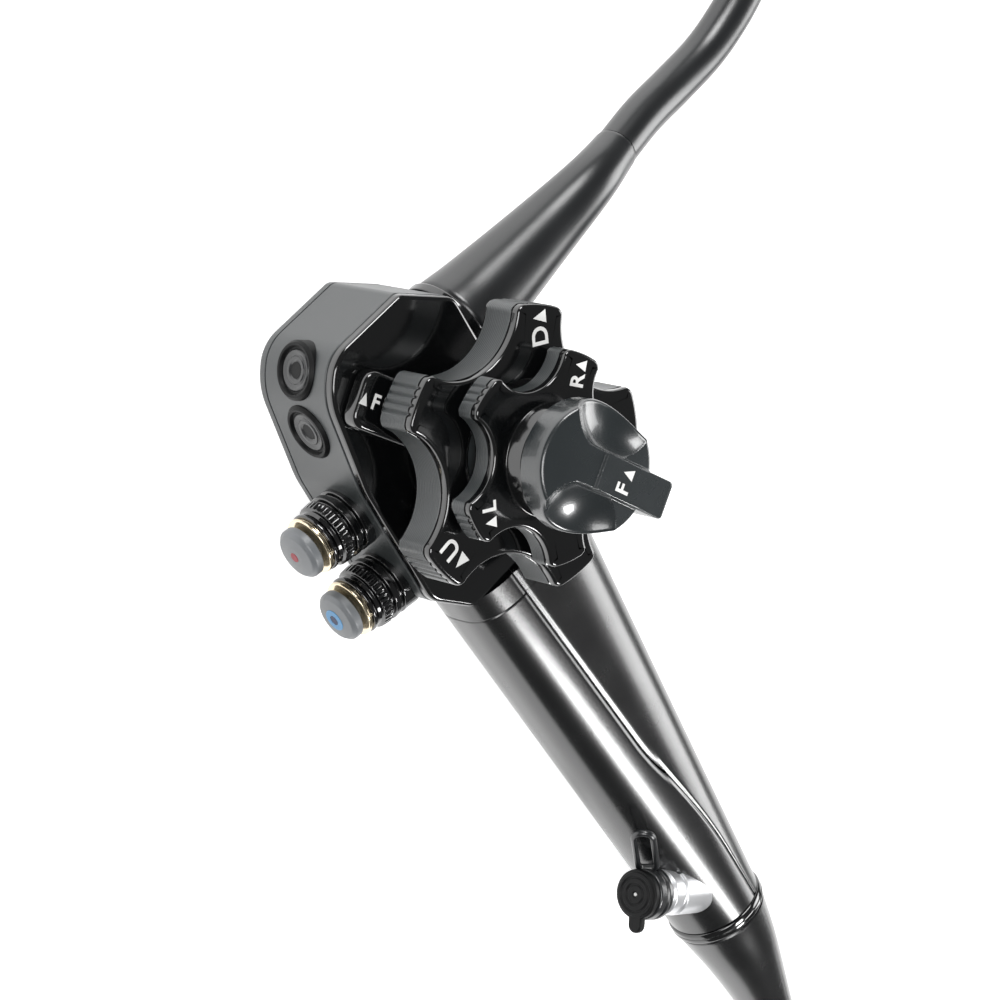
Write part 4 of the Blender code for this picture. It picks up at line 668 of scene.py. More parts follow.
def build_wheels(s):
    """Up/down wheel and right/left wheel with its hub."""
    waist, width, angle, low, high = UD_WHEEL
    outline, dips = wheel_outline(s.ud_radius / MM, waist, width, angle, 2.4, (-2.9, -0.95, 0.95, 2.9), 0.5)
    wheel = lobed("ud_wheel_skin", outline, dips, low, high, 1.3, 2.5, [
        (16.5, high), (16.2, high, 0.3), (14.0, high - 2.5, 0.8), (0.0, high - 2.5)], "ud_control")
    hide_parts("ud_wheel")
    waist, width, angle, low, high = RL_WHEEL
    outline, dips = wheel_outline(s.rl_radius / MM, waist, width, angle, 2.2, (-1.9, 0.0, 1.9), 0.4)
    wheel = lobed("rl_wheel_skin", outline, dips, low, high, 1.2, 2.2, [
        (12.8, high), (12.3, high, 0.3), (11.0, 57.6, 1.0), (9.0, 58.6, 0.4), (0.0, 58.6)], "rl_control")
    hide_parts("rl_wheel")


def build_knob():
    """Lock knob as a height field on a polar grid.

    The rim is the larger of the knob's circle and the bar's rounded end at each angle. The top is level,
    stands proud along the bar, falls by a power of -u / R behind it, and sinks on both sides of it by
    depth (1 - (d / R)^2)^0.85, where d is the distance from the dish's centre. Rows below the rim go down
    the conical side.
    """
    count = 480
    proud, fall_behind = 0.6, 2.4
    dish_at, dish_r, dish_depth = 13.2, 10.2, 5.6
    angle = np.linspace(-math.pi, math.pi, count, endpoint=False)
    half, reach, corner = 4.2, 20.5, 0.9
    low, high = np.full(count, KNOB_R), np.full(count, 24.0)
    for _ in range(24):
        middle = (low + high) / 2
        u, v = middle * np.cos(angle), np.abs(middle * np.sin(angle))
        out = np.hypot(np.maximum(u - reach + corner, 0), np.maximum(v - half + corner, 0)) <= corner
        low, high = np.where(out & (u > 0), middle, low), np.where(out & (u > 0), high, middle)
    rim = low
    bar = smooth(KNOB_R + 0.02, KNOB_R + 0.3, rim)
    share = np.concatenate([np.linspace(0.0, 0.94, 110), 1 - np.geomspace(0.05, 0.002, 14), [1.0]])
    radius = share[:, None] * rim[None]
    u, v = radius * np.cos(angle), radius * np.sin(angle)
    d = np.hypot(u, np.abs(v) - dish_at)
    depth = dish_depth * np.clip(1.0 - (d / dish_r) ** 2, 0, 1) ** 0.85
    off_bar = smooth(half - 0.3, half + 0.3, np.abs(v)) * (1 - bar[None] * (u > KNOB_R - 1))
    top = KNOB_TOP + proud * (1 - off_bar) * smooth(-0.2, 0.5, u) - depth * off_bar
    top = top - fall_behind * np.clip(-u / KNOB_R, 0, 1) ** 1.5
    fall = np.clip(1.0 - (rim[None] - radius) / 0.9, 0, 1)
    top = top - 0.9 * (1 - np.sqrt(np.clip(1 - fall ** 2, 0, 1)))
    rim_low = np.minimum(top[-1] - 0.3, KNOB_TOP - 7.0)
    rim_low = np.where(bar > 0.5, KNOB_TOP - 7.4, rim_low)
    flat = np.full(count, 1.0)
    under = np.minimum(rim, KNOB_R)
    walls = [(rim, top[-1] * 0.7 + rim_low * 0.3), (rim, top[-1] * 0.3 + rim_low * 0.7), (rim, rim_low),
             (rim - 0.6 * bar, rim_low - 0.6 * bar), (under, rim_low - 0.62 * bar - 0.02)]
    walls += [(flat * r, flat * z) for r, z in (
        (KNOB_R - 0.05, KNOB_LOW + 2.2), (KNOB_R - 0.5, KNOB_LOW + 1.7), (KNOB_R - 2.2, KNOB_LOW + 0.3),
        (KNOB_R - 2.6, KNOB_LOW), (0.0, KNOB_LOW))]
    radius = np.concatenate([radius, *[w[0][None] for w in walls]])
    height = np.concatenate([top, *[w[1][None] for w in walls]])
    turn = angle[None] + math.radians(KNOB_BAR_ANGLE)
    grid = np.stack([radius * np.cos(turn), radius * np.sin(turn), height], -1)
    knob = skin("rl_lock_knob_skin", grid, "knob", "rl_lock", smooth_angle=38.0)
    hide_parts("rl_lock_knob")


def build_lever(s):
    """Lock lever: round hub and one finger, with rounded edges."""
    finger, hub, reach = 6.5, 17.0, s.lever_reach / MM
    half = math.degrees(math.asin(finger / hub))
    outline = polar(hub, np.linspace(half, 360.0 - half, 60))
    root = hub * math.cos(math.radians(half))
    tip = filleted([(root, -finger), (reach, -finger, 3.2), (reach, finger, 3.2), (root, finger)], steps=10,
                   support=0.1)
    outline = np.concatenate([outline, tip[1:-1]])
    turn = math.radians(LEVER_ANGLE)
    spin = np.array([[math.cos(turn), math.sin(turn)], [-math.sin(turn), math.cos(turn)]])
    lever = prism("ud_lock_lever_skin", dense(outline @ spin, 1.5, True), filleted([
        (2.4, LEVER_LOW), (0.0, LEVER_LOW, 0.8), (0.0, LEVER_TOP, 1.4), (2.4, LEVER_TOP)], steps=5),
        "polished", "ud_lock")
    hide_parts("ud_lock_lever")


# Pieces: head

def switch_corners():
    """Ends of the two switch walls, from the valves' wall to the head's top edge."""
    high_x = VALVE_WALL_X + (SWITCH_HIGH_Y - SWITCH_LOW_Y) * math.tan(math.radians(LOW_WALL_LEAN))
    top_x = high_x + (HEAD_TOP_Y - SWITCH_HIGH_Y) / math.tan(math.radians(HIGH_WALL_LEAN))
    return np.array([(VALVE_WALL_X, SWITCH_LOW_Y), (high_x, SWITCH_HIGH_Y), (top_x, HEAD_TOP_Y)])


def head_outline():
    """The head's outline with its corners rounded, anticlockwise, about 1 mm between points."""
    low, high, top = switch_corners()
    return dense(filleted([
        (18.5, NECK_Y, 3.0), (19.0, -22.0, 6.0), (CORD_WALL_X, -6.0, 8.0), (CORD_WALL_X, 29.0, 4.0),
        (3.5, HEAD_TOP_Y, 3.0), (*top, 9.6), (*high, 16.0), (*low, 20.0), (VALVE_WALL_X, -22.0, 6.0),
        (-20.0, NECK_Y, 3.0)], closed=True, steps=10, support=0.1), 1.0, True)


def build_head():
    """Housing wall with its back and their seam, and the polished knob-side cover."""
    outline = head_outline()
    housing = prism("control_housing_skin", outline, filleted([
        (4.0, 0.0), (0.0, 0.0, 2.0), (0.0, 2.5, 0.05), (0.3, 2.6, 0.05), (0.3, 2.9, 0.05), (0.0, 3.0, 0.05),
        (0.0, HOUSING_TOP, 0.3), (2.0, HOUSING_TOP)], steps=5, support=0.04), "moulded", ROOT)
    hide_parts("control_housing", "back_cover")
    low = HOUSING_TOP + CLEAR
    cover = prism("knob_side_cover_skin", outline, filleted([
        (2.0, low), (0.1, low, 0.2), (0.1, COVER_TOP, 1.0), (3.0, COVER_TOP)], steps=6, support=0.04),
        "polished", ROOT)
    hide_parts("knob_side_cover")


def valve_frames():
    """Base point and outward axis of both valves."""
    tilt = math.radians(VALVE_TILT)
    axis = np.array((-math.cos(tilt), math.sin(tilt), 0.0))
    return [(np.array((VALVE_WALL_X, SUCTION_Y - i * VALVE_PITCH, VALVE_Z)), axis) for i in range(2)]


def build_valves(s):
    """For both valves: ribbed collar, gilt rings, stem and cap with its printed mark."""
    wide, cap_r, top = s.collar_radius / MM, s.cap_radius / MM, COLLAR_TOP
    for name, (base, axis) in zip(("suction", "air_water"), valve_frames()):
        body = f"{name}_valve"
        collar = turned(f"{name}_collar_skin", filleted([
            (5.3, top, 0.1), (wide - 1.2, top, 0.3), (wide - 1.0, top - 0.9, 0.2),
            (wide - 0.2, top - 1.2, 0.3), (wide, top - 3.4, 0.3), (wide - 0.9, top - 3.7, 0.15),
            (wide - 0.9, top - 4.3, 0.15), (wide, top - 4.6, 0.3), (wide, top - 6.0, 0.3),
            (wide - 0.9, top - 6.3, 0.15), (wide - 0.9, top - 6.9, 0.15), (wide, top - 7.2, 0.3),
            (wide, -2.0), (5.3, -2.0)], steps=5),
            base, axis, "polished", ROOT, 144, flutes=(36, 0.3, top - 3.6, top - 1.0))
        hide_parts(f"{name}_collar")
        seat = top + CLEAR
        ring = turned(f"{name}_ring_skin", filleted([
            (6.0, seat + 2.6), (6.7, seat + 2.6, 0.25), (6.7, seat + 1.9, 0.25), (6.3, seat + 1.7, 0.1),
            (6.3, seat + 1.3, 0.1), (6.2, seat + 1.3)]), base, axis, "gilt", ROOT, 96)
        turned(f"{name}_seal", filleted([
            (6.1, seat + 1.2), (6.9, seat + 1.2, 0.5), (6.9, seat + 0.1, 0.5), (6.1, seat + 0.1)], steps=6),
            base, axis, "polished", ROOT, 96)
        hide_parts(f"{name}_ring")
        cap = turned(f"{name}_cap_skin", filleted([
            (0.0, CAP_FACE), (2.4, CAP_FACE - 0.1, 2.0), (cap_r - 0.9, CAP_FACE - 0.5, 0.6),
            (cap_r, CAP_FACE - 1.4, 0.7), (cap_r, CAP_FACE - 3.2, 0.3), (4.9, CAP_FACE - 3.2, 0.1),
            (4.9, CAP_FACE - 3.5, 0.1), (3.1, CAP_FACE - 3.5), (3.1, -5.0), (0.0, -5.0)], steps=6),
            base, axis, "cap", body, 96)
        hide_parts(f"{name}_cap")
        face = base + axis * (CAP_FACE - 0.1)
        if name == "suction":
            turned(f"{name}_mark", filleted([(0.0, 0.14), (1.1, 0.14, 0.05), (1.2, 0.0), (0.0, 0.0)]),
                   face, axis, "red", body, 40)
        else:
            turned(f"{name}_mark", filleted([(1.2, 0.0), (1.2, 0.14, 0.03), (2.5, 0.14, 0.05), (2.6, 0.0)]),
                   face, axis, "blue", body, 48)
            turned(f"{name}_mark_centre", filleted([
                (0.0, 0.12), (1.1, 0.12, 0.05), (1.15, 0.0), (0.0, 0.0)]), face, axis, "navy", body, 40)


def switch_frames():
    """Base point on the wall and outward axis of both switches: one on the high wall, one on the low."""
    low, high, top = switch_corners()
    frames = []
    for near, far, share in ((high, top, 0.56), (low, high, 0.60)):
        along = unit(far - near)
        at = near + (far - near) * share
        frames.append((np.array((*at, VALVE_Z)), np.array((-along[1], along[0], 0.0))))
    return frames


def build_switches(s):
    """For both switches: bezel ring and dished rubber button."""
    wide = s.button_radius / MM
    for i, (base, axis) in enumerate(switch_frames(), 1):
        bezel = turned(f"switch_{i}_bezel_skin", filleted([
            (5.0, 0.1), (5.3, 0.8, 0.2), (5.9, 0.9, 0.3), (BEZEL_R, 0.15, 0.3), (BEZEL_R, -2.6),
            (5.0, -2.6)]), base, axis, "lid", ROOT, 96)
        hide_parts(f"switch_{i}_bezel")
        button = turned(f"switch_{i}_button_skin", filleted([
            (0.0, 0.0), (1.7, 0.0, 0.3), (2.3, 0.42, 0.4), (2.9, 0.42, 0.2), (3.2, 0.1, 0.3),
            (wide - 0.5, 0.5, 0.4), (wide, 0.0, 0.3), (wide, -1.5), (0.0, -1.5)], steps=6), base, axis,
            "rubber", f"switch_{i}", 96)
        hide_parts(f"switch_{i}_button")


# Pieces: grip and channel port

def grip_section(y, angle, shrink=0.0):
    """Point of the grip's section: a superellipse that is boxier on its upper left, with a rounded ridge."""
    share = (y - NECK_Y) / (GRIP_END_Y - NECK_Y)
    a = GRIP_TOP_A + (GRIP_END_R - GRIP_TOP_A) * share - shrink
    b = GRIP_TOP_B + (GRIP_END_R - GRIP_TOP_B) * share - shrink
    c, s = np.cos(angle), np.sin(angle)
    boxy = 2.0 + np.where((c < 0) & (s > 0), 1.6, 0.5) * (1.0 - share)
    x = a * np.sign(c) * np.abs(c) ** (2.0 / boxy)
    z = b * np.sign(s) * np.abs(s) ** (2.0 / boxy)
    return np.stack(np.broadcast_arrays(x, y, GRIP_Z + z), -1)


def build_grip():
    """Two shells that meet at a seam: sections of the same oval over their own range of angles.

    Each edge at the seam falls by 0.3 exp(-(t / 0.010)^2) mm, and the left shell has a hairline groove
    across it near the head.
    """
    y = np.concatenate([np.linspace(NECK_Y - 0.3, -37.2, 8), np.linspace(-37.0, -38.2, 13),
                        np.linspace(-38.6, GRIP_END_Y, 110)])[:, None]
    share = (y - NECK_Y) / (GRIP_END_Y - NECK_Y)
    a = GRIP_TOP_A + (GRIP_END_R - GRIP_TOP_A) * share
    seam = SEAM_TOP_X + (SEAM_END_X - SEAM_TOP_X) * share + SEAM_SWING * smooth(0.5, 0.86, share)
    t = np.concatenate([np.linspace(0.0, 0.04, 14)[:-1], np.linspace(0.04, 0.96, 90),
                        np.linspace(0.96, 1.0, 14)[1:]])[None]
    for name, right in (("grip_left_shell", False), ("grip_right_shell", True)):
        gap = SEAM_GAP if right else -SEAM_GAP
        top = np.arccos(np.clip((seam + gap) / a, -1, 1))
        bottom = -np.arccos(gap / a) if right else TAU - np.arccos(gap / a)
        angle = top + (bottom - top) * t
        lip = 0.3 * (np.exp(-(t / 0.010) ** 2) + np.exp(-((1 - t) / 0.010) ** 2))
        if not right:
            lip = lip + 0.22 * np.exp(-((y - HAIRLINE_Y) / 0.16) ** 2)
        outer = grip_section(y, angle)
        centre = np.stack(np.broadcast_arrays(0.0 * y, y, GRIP_Z + 0.0 * y), -1)
        outer = outer - unit(outer - centre + 1e-9) * lip[..., None]
        inner = grip_section(y, angle[:, ::-1], SHELL_WALL)
        shell = skin(f"{name}_skin", np.concatenate([outer, inner], 1), "grip", ROOT, smooth_angle=50.0)
        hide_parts(name)


def build_port():
    """Channel port with its bands, rubber valve, lid with its rings, pin hole and tab, and the strap."""
    high = PORT_LENGTH
    port = turned("channel_port_skin", filleted([
        (1.5, high), (4.7, high, 0.3), (4.7, high - 1.6, 0.2), (PORT_R - 0.2, high - 2.2, 0.3),
        (PORT_R - 0.2, 17.5, 0.2), (PORT_R - 0.5, 17.2, 0.15), (PORT_R - 0.5, 16.4, 0.15),
        (PORT_R, 16.1, 0.2), (PORT_R, 3.0, 0.1), (1.5, 3.0)]), PORT_FROM, PORT_AXIS, "steel", ROOT)
    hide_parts("channel_port")
    low = PORT_LENGTH + CLEAR
    high = low + 4.6
    wide = VALVE_BODY_R
    body = turned("biopsy_valve_body_skin", filleted([
        (1.5, high), (wide - 0.2, high, 0.5), (wide, low + 2.6, 0.3), (wide - 0.8, low + 2.0, 0.3),
        (wide, low + 1.4, 0.3), (wide, low, 0.4), (1.5, low)]), PORT_FROM, PORT_AXIS, "rubber", ROOT)
    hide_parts("biopsy_valve_body")
    side = unit(PORT_SIDE - PORT_AXIS * (PORT_AXIS @ PORT_SIDE))
    build_lid(high + CLEAR, side)
    build_strap(PORT_FROM + PORT_AXIS * (PORT_LENGTH + 2.6) + side * (VALVE_BODY_R + 0.15))


def build_lid(low, side):
    """Round lid with a tab: an outline of two arcs, under a turned face of rings and a pin hole with a
    painted highlight, a white disc, in it.
    """
    tab = 1.9
    half = math.degrees(math.asin(tab / LID_R))
    outline = np.concatenate([polar(LID_R, np.linspace(-180.0 + half, 180.0 - half, 60)),
                              (-LID_R - 3.2 + tab, 0.0) + polar(tab, np.linspace(90.0, 270.0, 20))])
    lid = prism("biopsy_valve_lid_skin", outline, filleted([
        (1.2, low), (0.0, low, 0.3), (0.0, low + 1.7, 0.5), (1.2, low + 1.7)]), "lid", "biopsy_lid",
        (PORT_FROM, side, PORT_AXIS))
    face = turned("lid_face", filleted([
        (0.0, low + 1.75), (0.55, low + 1.75, 0.1), (0.8, low + 2.0, 0.2), (2.0, low + 2.0, 0.2),
        (2.25, low + 1.78, 0.1), (2.55, low + 1.78, 0.1), (2.8, low + 2.0, 0.2), (3.6, low + 2.0, 0.2),
        (3.85, low + 1.78, 0.1), (4.15, low + 1.78, 0.1), (4.4, low + 2.0, 0.2), (5.1, low + 1.95, 0.3),
        (5.3, low + 1.6), (5.3, low + 1.2), (0.0, low + 1.2)]), PORT_FROM, PORT_AXIS, "lid", "biopsy_lid", 96)
    # Painted highlight: a white disc in the pin hole stands for the glint of light on it
    turned("lid_pin", filleted([
        (0.0, low + 2.0), (0.4, low + 1.95, 0.1), (0.45, low + 1.5), (0.0, low + 1.5)]), PORT_FROM, PORT_AXIS,
        "white", "biopsy_lid", 32)
    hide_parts("biopsy_valve_lid")


def build_strap(start):
    """Flat loop of rubber beside the valve: an oval section carried round a rounded rectangle."""
    reach, half = 14.0, 2.25
    section_out, section_up = 0.75, 0.9
    along = unit((0.06, 0.92, 0.39))
    normal = unit(np.array((-0.8, -0.1, 0.6)) - along * (along @ (-0.8, -0.1, 0.6)))
    mid = filleted([(section_out, -half, 1.2), (reach, -half, 2.2), (reach, half, 2.2),
                    (section_out, half, 1.2)], True, 8, 0.05)
    mid = dense(mid, 0.6, True)
    ahead = unit(np.roll(mid, -1, 0) - np.roll(mid, 1, 0))
    outward = ahead[:, ::-1] * (1.0, -1.0)
    turn = np.linspace(0.0, TAU, 16, endpoint=False)[None, :, None]
    across = np.stack([along, np.cross(normal, along)])
    grid = (start + normal * section_up + (mid @ across)[:, None]
            + section_out * np.cos(turn) * (outward @ across)[:, None] + section_up * np.sin(turn) * normal)
    strap = skin("biopsy_valve_strap_skin", grid, "rubber", ROOT, loop=True)
    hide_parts("biopsy_valve_strap")


def build_bending():
    """Rubber sleeve over the bending links, one piece across each joint, and the collar behind it."""
    first = np.array(BEND_FROM) + (0, BEND_COLLAR, 0)
    for i in range(BEND_JOINTS):
        joint = first + (0, BEND_PITCH * i, 0)
        low = np.array(BEND_FROM) if i == 0 else joint - (0, BEND_PITCH / 2, 0)
        high = joint + (0, BEND_PITCH / 2 if i < BEND_JOINTS - 1 else SLEEVE_PAST_TIP, 0)
        path = low + (high - low) * np.linspace(0.0, 1.0, 25)[:, None]
        sleeve = swept(f"sleeve_{i + 1}", path, SLEEVE_R, "rubber", None, 40)
        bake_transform(sleeve)
        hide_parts(f"bending_link_{i}" if i else "bending_collar")


def build_marks():
    """Paint-filled letters, each with its triangle, laid on the faces they mark."""
    ud_top, rl_top = UD_WHEEL[-1] + 0.02, RL_WHEEL[-1] + 0.02
    lever, bar = LEVER_ANGLE, KNOB_BAR_ANGLE
    for name, text, at, degrees, height, size, arrow, body in (
            ("mark_d", "D", polar(27.2, 47.5), 62.0, ud_top, 6.0, 1, "ud_control"),
            ("mark_u", "U", polar(27.2, 191.5), 96.0, ud_top, 6.0, -1, "ud_control"),
            ("mark_r", "R", polar(19.2, 32.5), 42.0, rl_top, 5.0, 1, "rl_control"),
            ("mark_l", "L", polar(19.2, 176.5), 60.0, rl_top, 5.0, -1, "rl_control"),
            ("mark_lever", "F", polar(33.2, lever), lever - 180.0, LEVER_TOP + 0.02, 4.6, -1, "ud_lock"),
            ("mark_knob", "F", polar(7.2, bar), bar + 90.0, KNOB_TOP + 0.62, 5.0, 1, "rl_lock")):
        letter(name, text, (*at, height), degrees, size, arrow, body)


def letter(name, text, at, degrees, size, side, body):
    """A letter and a triangle beside it as one thin mesh in the plane of the wheels, turned by an angle."""
    half_thick, apart_by = 0.04, side * 0.34 * size
    curve = bpy.data.curves.new(name, "FONT")
    curve.body = text
    curve.size = size * MM
    curve.align_x, curve.align_y = "CENTER", "CENTER"
    curve.extrude = half_thick * MM
    curve.offset = 0.12 * MM
    drawn = bpy.data.objects.new(name + "_text", curve)
    bpy.context.scene.collection.objects.link(drawn)
    bpy.context.view_layer.update()
    mesh = bpy.data.meshes.new_from_object(drawn.evaluated_get(bpy.context.evaluated_depsgraph_get()))
    bpy.data.objects.remove(drawn, do_unlink=True)
    made = bmesh.new()
    made.from_mesh(mesh)
    bmesh.ops.translate(made, verts=made.verts, vec=(-apart_by * MM, 0.0, 0.0))
    corners = np.array([(-0.24, -0.3), (0.24, -0.3), (0.0, 0.28)]) * size + (apart_by, 0.0)
    low, high = ([made.verts.new((x * MM, y * MM, z * MM)) for x, y in corners]
                 for z in (-half_thick, half_thick))
    made.faces.new(low[::-1])
    made.faces.new(high)
    for i in range(3):
        made.faces.new((low[i], low[(i + 1) % 3], high[(i + 1) % 3], high[i]))
    made.to_mesh(mesh)
    made.free()
    mesh.transform(Matrix.Translation(Vector(at) * MM) @ Matrix.Rotation(math.radians(degrees), 4, "Z"))
    mesh.materials.clear()
    return settle(name, mesh, "white", body, 30.0)


def finish_cad():
    """Give the CAD nodes that still show their own finishes."""
    finishes = {"stainless_steel": "steel", "gilt_ring": "gilt", "lens_glass": "glass", "rubber": "rubber",
                "moulded_plastic": "moulded", "gloss_plastic": "polished"}
    slots = {part["node"]: part["material_slot"] for part in frame["record"]["subparts"]}
    for name, node in NODES.items():
        if not node.hide_render:
            node.data.materials.clear()
            node.data.materials.append(FINISH[finishes[slots[name]]])


# Stage

def build_stage(s):
    """Pale floor, plain lights and the camera."""
    scene = bpy.context.scene
    scene.view_settings.view_transform = "Standard"
    size = 6.0
    mesh = bpy.data.meshes.new("floor")
    mesh.from_pydata([(-size, -size, 0), (size, -size, 0), (size, size, 0), (-size, size, 0)], [],
                     [(0, 1, 2, 3)])
    floor = bpy.data.objects.new("floor", mesh)
    scene.collection.objects.link(floor)
    material = bpy.data.materials.new("white table top")
    material.use_nodes = True
    tree = material.node_tree
    tree.nodes.clear()
    path = add(tree, "ShaderNodeLightPath")
    seen = add(tree, "ShaderNodeMath", {0: path.outputs["Is Camera Ray"], 1: path.outputs["Is Glossy Ray"]},
               operation="MAXIMUM").outputs[0]
    seen = add(tree, "ShaderNodeMath", {0: seen, 1: path.outputs["Is Transmission Ray"]},
               operation="MAXIMUM").outputs[0]
    # White where it is seen or mirrored, with a faint shadow from the paint's share
    paint = add(tree, "ShaderNodeBsdfDiffuse", {"Color": (0.8, 0.8, 0.8, 1.0)}).outputs[0]
    strength = add(tree, "ShaderNodeMath", {0: seen, 1: 0.88}, operation="MULTIPLY").outputs[0]
    white = add(tree, "ShaderNodeEmission", {"Color": (1.0, 1.0, 1.0, 1.0), "Strength": strength}).outputs[0]
    both = add(tree, "ShaderNodeAddShader", {0: paint, 1: white})
    add(tree, "ShaderNodeOutputMaterial", {"Surface": both.outputs[0]})
    mesh.materials.append(material)

    world = bpy.data.worlds.new("studio")
    scene.world = world
    world.use_nodes = True
    tree = world.node_tree
    tree.nodes.clear()
    path = add(tree, "ShaderNodeLightPath")
    strength = add(tree, "ShaderNodeMapRange", {"Value": path.outputs["Is Camera Ray"], "To Min": s.sky,
                                                "To Max": 1.0})
    sky = add(tree, "ShaderNodeBackground", {"Color": (1.0, 1.0, 1.0, 1.0),
                                             "Strength": strength.outputs["Result"]})
    add(tree, "ShaderNodeOutputWorld", {"Surface": sky.outputs[0]})

    for name, azimuth, elevation, distance, size, watts in (
            # A broad lamp near the viewer, one over the grip's crest, one past the head, one low on the right
            ("key", 140.0, 52.0, 1.5, 0.7, 10.0), ("crest", -92.7, 45.5, 0.714, 0.16, 2.2),
            ("rim", 62.0, 28.0, 1.4, 0.5, 9.0), ("low", -34.0, 20.0, 1.4, 0.7, 9.0)):
        light = bpy.data.lights.new(name, "AREA")
        light.shape, light.size, light.energy = "SQUARE", size, watts
        lamp = bpy.data.objects.new(name, light)
        scene.collection.objects.link(lamp)
        a, e = math.radians(azimuth), math.radians(elevation)
        out = Vector((math.cos(a) * math.cos(e), math.sin(a) * math.cos(e), math.sin(e)))
        lamp.location = out * distance
        lamp.rotation_euler = out.to_track_quat("Z", "Y").to_euler()

    camera = bpy.data.objects.new("camera", bpy.data.cameras.new("camera"))
    scene.collection.objects.link(camera)
    camera.data.sensor_width, camera.data.lens = 36.0, FOCAL_MM
    camera.data.clip_start, camera.data.clip_end = 0.01, 20.0
    turn = Matrix((CAMERA_RIGHT, CAMERA_UP, CAMERA_BACK)).transposed().to_4x4()
    camera.matrix_world = Matrix.Translation(CAMERA_AT) @ turn
    scene.camera = camera


# Add-on

SIZE_KIND = {"min": 1.0 * MM, "max": 60.0 * MM, "subtype": "DISTANCE", "unit": "LENGTH", "precision": 5}
COLOUR_KIND = {"size": 4, "min": 0.0, "max": 1.0, "subtype": "COLOR"}


class EndoscopeSettings(bpy.types.PropertyGroup):
    """Sizes, colours and light that a user may change before a rebuild."""

    ud_radius: FloatProperty(
        name="Up/Down Wheel", description="Outside radius of the up/down wheel",
        default=32.0 * MM, **SIZE_KIND)
    rl_radius: FloatProperty(
        name="Right/Left Wheel", description="Outside radius of the right/left wheel",
        default=23.5 * MM, **SIZE_KIND)
    lever_reach: FloatProperty(
        name="Lock Lever", description="Reach of the lock lever from the wheels' axis",
        default=36.0 * MM, **SIZE_KIND)
    collar_radius: FloatProperty(
        name="Valve Collar", description="Outside radius of a valve collar",
        default=7.6 * MM, **SIZE_KIND)
    cap_radius: FloatProperty(
        name="Valve Cap", description="Outside radius of a valve cap",
        default=5.9 * MM, **SIZE_KIND)
    button_radius: FloatProperty(
        name="Switch Button", description="Outside radius of a switch button",
        default=4.7 * MM, **SIZE_KIND)
    cord_diameter: FloatProperty(
        name="Universal Cord", description="Diameter of the universal cord",
        default=10.0 * MM, **SIZE_KIND)
    tube_diameter: FloatProperty(
        name="Insertion Tube", description="Diameter of the insertion tube",
        default=9.8 * MM, **SIZE_KIND)
    # Painted light: this grey is partly the sand-blasted plastic's own look and partly a painted reflection
    # of the pale floor on the walls
    housing_colour: FloatVectorProperty(
        name="Housing", description="Colour of the head's wall and the wheels' walls",
        default=linear("#393D3E"), **COLOUR_KIND)
    gloss_colour: FloatVectorProperty(
        name="Polished Plastic", description="Colour of the cover, the grip and the wheels' faces",
        default=linear("#090A0B"), **COLOUR_KIND)
    knob_colour: FloatVectorProperty(
        name="Knob", description="Colour of the lock knob",
        default=linear("#23282A"), **COLOUR_KIND)
    rubber_colour: FloatVectorProperty(
        name="Rubber", description="Colour of the boots, buttons and tubes",
        default=linear("#17191B"), **COLOUR_KIND)
    cap_colour: FloatVectorProperty(
        name="Valve Caps", description="Colour of the valve caps",
        default=linear("#707376"), **COLOUR_KIND)
    steel_colour: FloatVectorProperty(
        name="Steel", description="Colour of the channel port and pins",
        default=linear("#E4E5E7"), **COLOUR_KIND)
    ring_colour: FloatVectorProperty(
        name="Valve Rings", description="Colour of the gilt rings",
        default=linear("#EBDDC0"), **COLOUR_KIND)
    mark_colour: FloatVectorProperty(
        name="Marks", description="Colour of the paint in the marks",
        default=linear("#F4F4F2"), **COLOUR_KIND)
    sky: FloatProperty(
        name="Sky", description="Strength of the room's own light", default=0.12, min=0.0, max=1.0)


class ENDOSCOPE_OT_finishes(bpy.types.Operator):
    """Make every finish of the object"""
    bl_idname = "endoscope.finishes"
    bl_label = "Finishes"

    def execute(self, context):
        make_materials(context.scene.endoscope)
        return {"FINISHED"}


class ENDOSCOPE_OT_stage(bpy.types.Operator):
    """White floor, lamps and camera"""
    bl_idname = "endoscope.stage"
    bl_label = "Stage"

    def execute(self, context):
        build_stage(context.scene.endoscope)
        return {"FINISHED"}


class ENDOSCOPE_OT_cords(bpy.types.Operator):
    """Both cords on their whole routes"""
    bl_idname = "endoscope.cords"
    bl_label = "Cords"

    def execute(self, context):
        build_cords(context.scene.endoscope)
        return {"FINISHED"}


class ENDOSCOPE_OT_boots(bpy.types.Operator):
    """Boots of both cords, the cord's collar and the grip's end ring"""
    bl_idname = "endoscope.boots"
    bl_label = "Boots"

    def execute(self, context):
        build_boots(context.scene.endoscope)
        return {"FINISHED"}


class ENDOSCOPE_OT_connector(bpy.types.Operator):
    """Light-guide connector with its boot, pin and pipe"""
    bl_idname = "endoscope.connector"
    bl_label = "Connector"

    def execute(self, context):
        build_connector()
        return {"FINISHED"}


class ENDOSCOPE_OT_wheels(bpy.types.Operator):
    """Up/down wheel and right/left wheel"""
    bl_idname = "endoscope.wheels"
    bl_label = "Control Wheels"

    def execute(self, context):
        build_wheels(context.scene.endoscope)
        return {"FINISHED"}


class ENDOSCOPE_OT_knob(bpy.types.Operator):
    """Knob that locks the right/left wheel"""
    bl_idname = "endoscope.knob"
    bl_label = "Lock Knob"

    def execute(self, context):
        build_knob()
        return {"FINISHED"}


class ENDOSCOPE_OT_lever(bpy.types.Operator):
    """Lever that locks the up/down wheel"""
    bl_idname = "endoscope.lever"
    bl_label = "Lock Lever"

    def execute(self, context):
        build_lever(context.scene.endoscope)
        return {"FINISHED"}


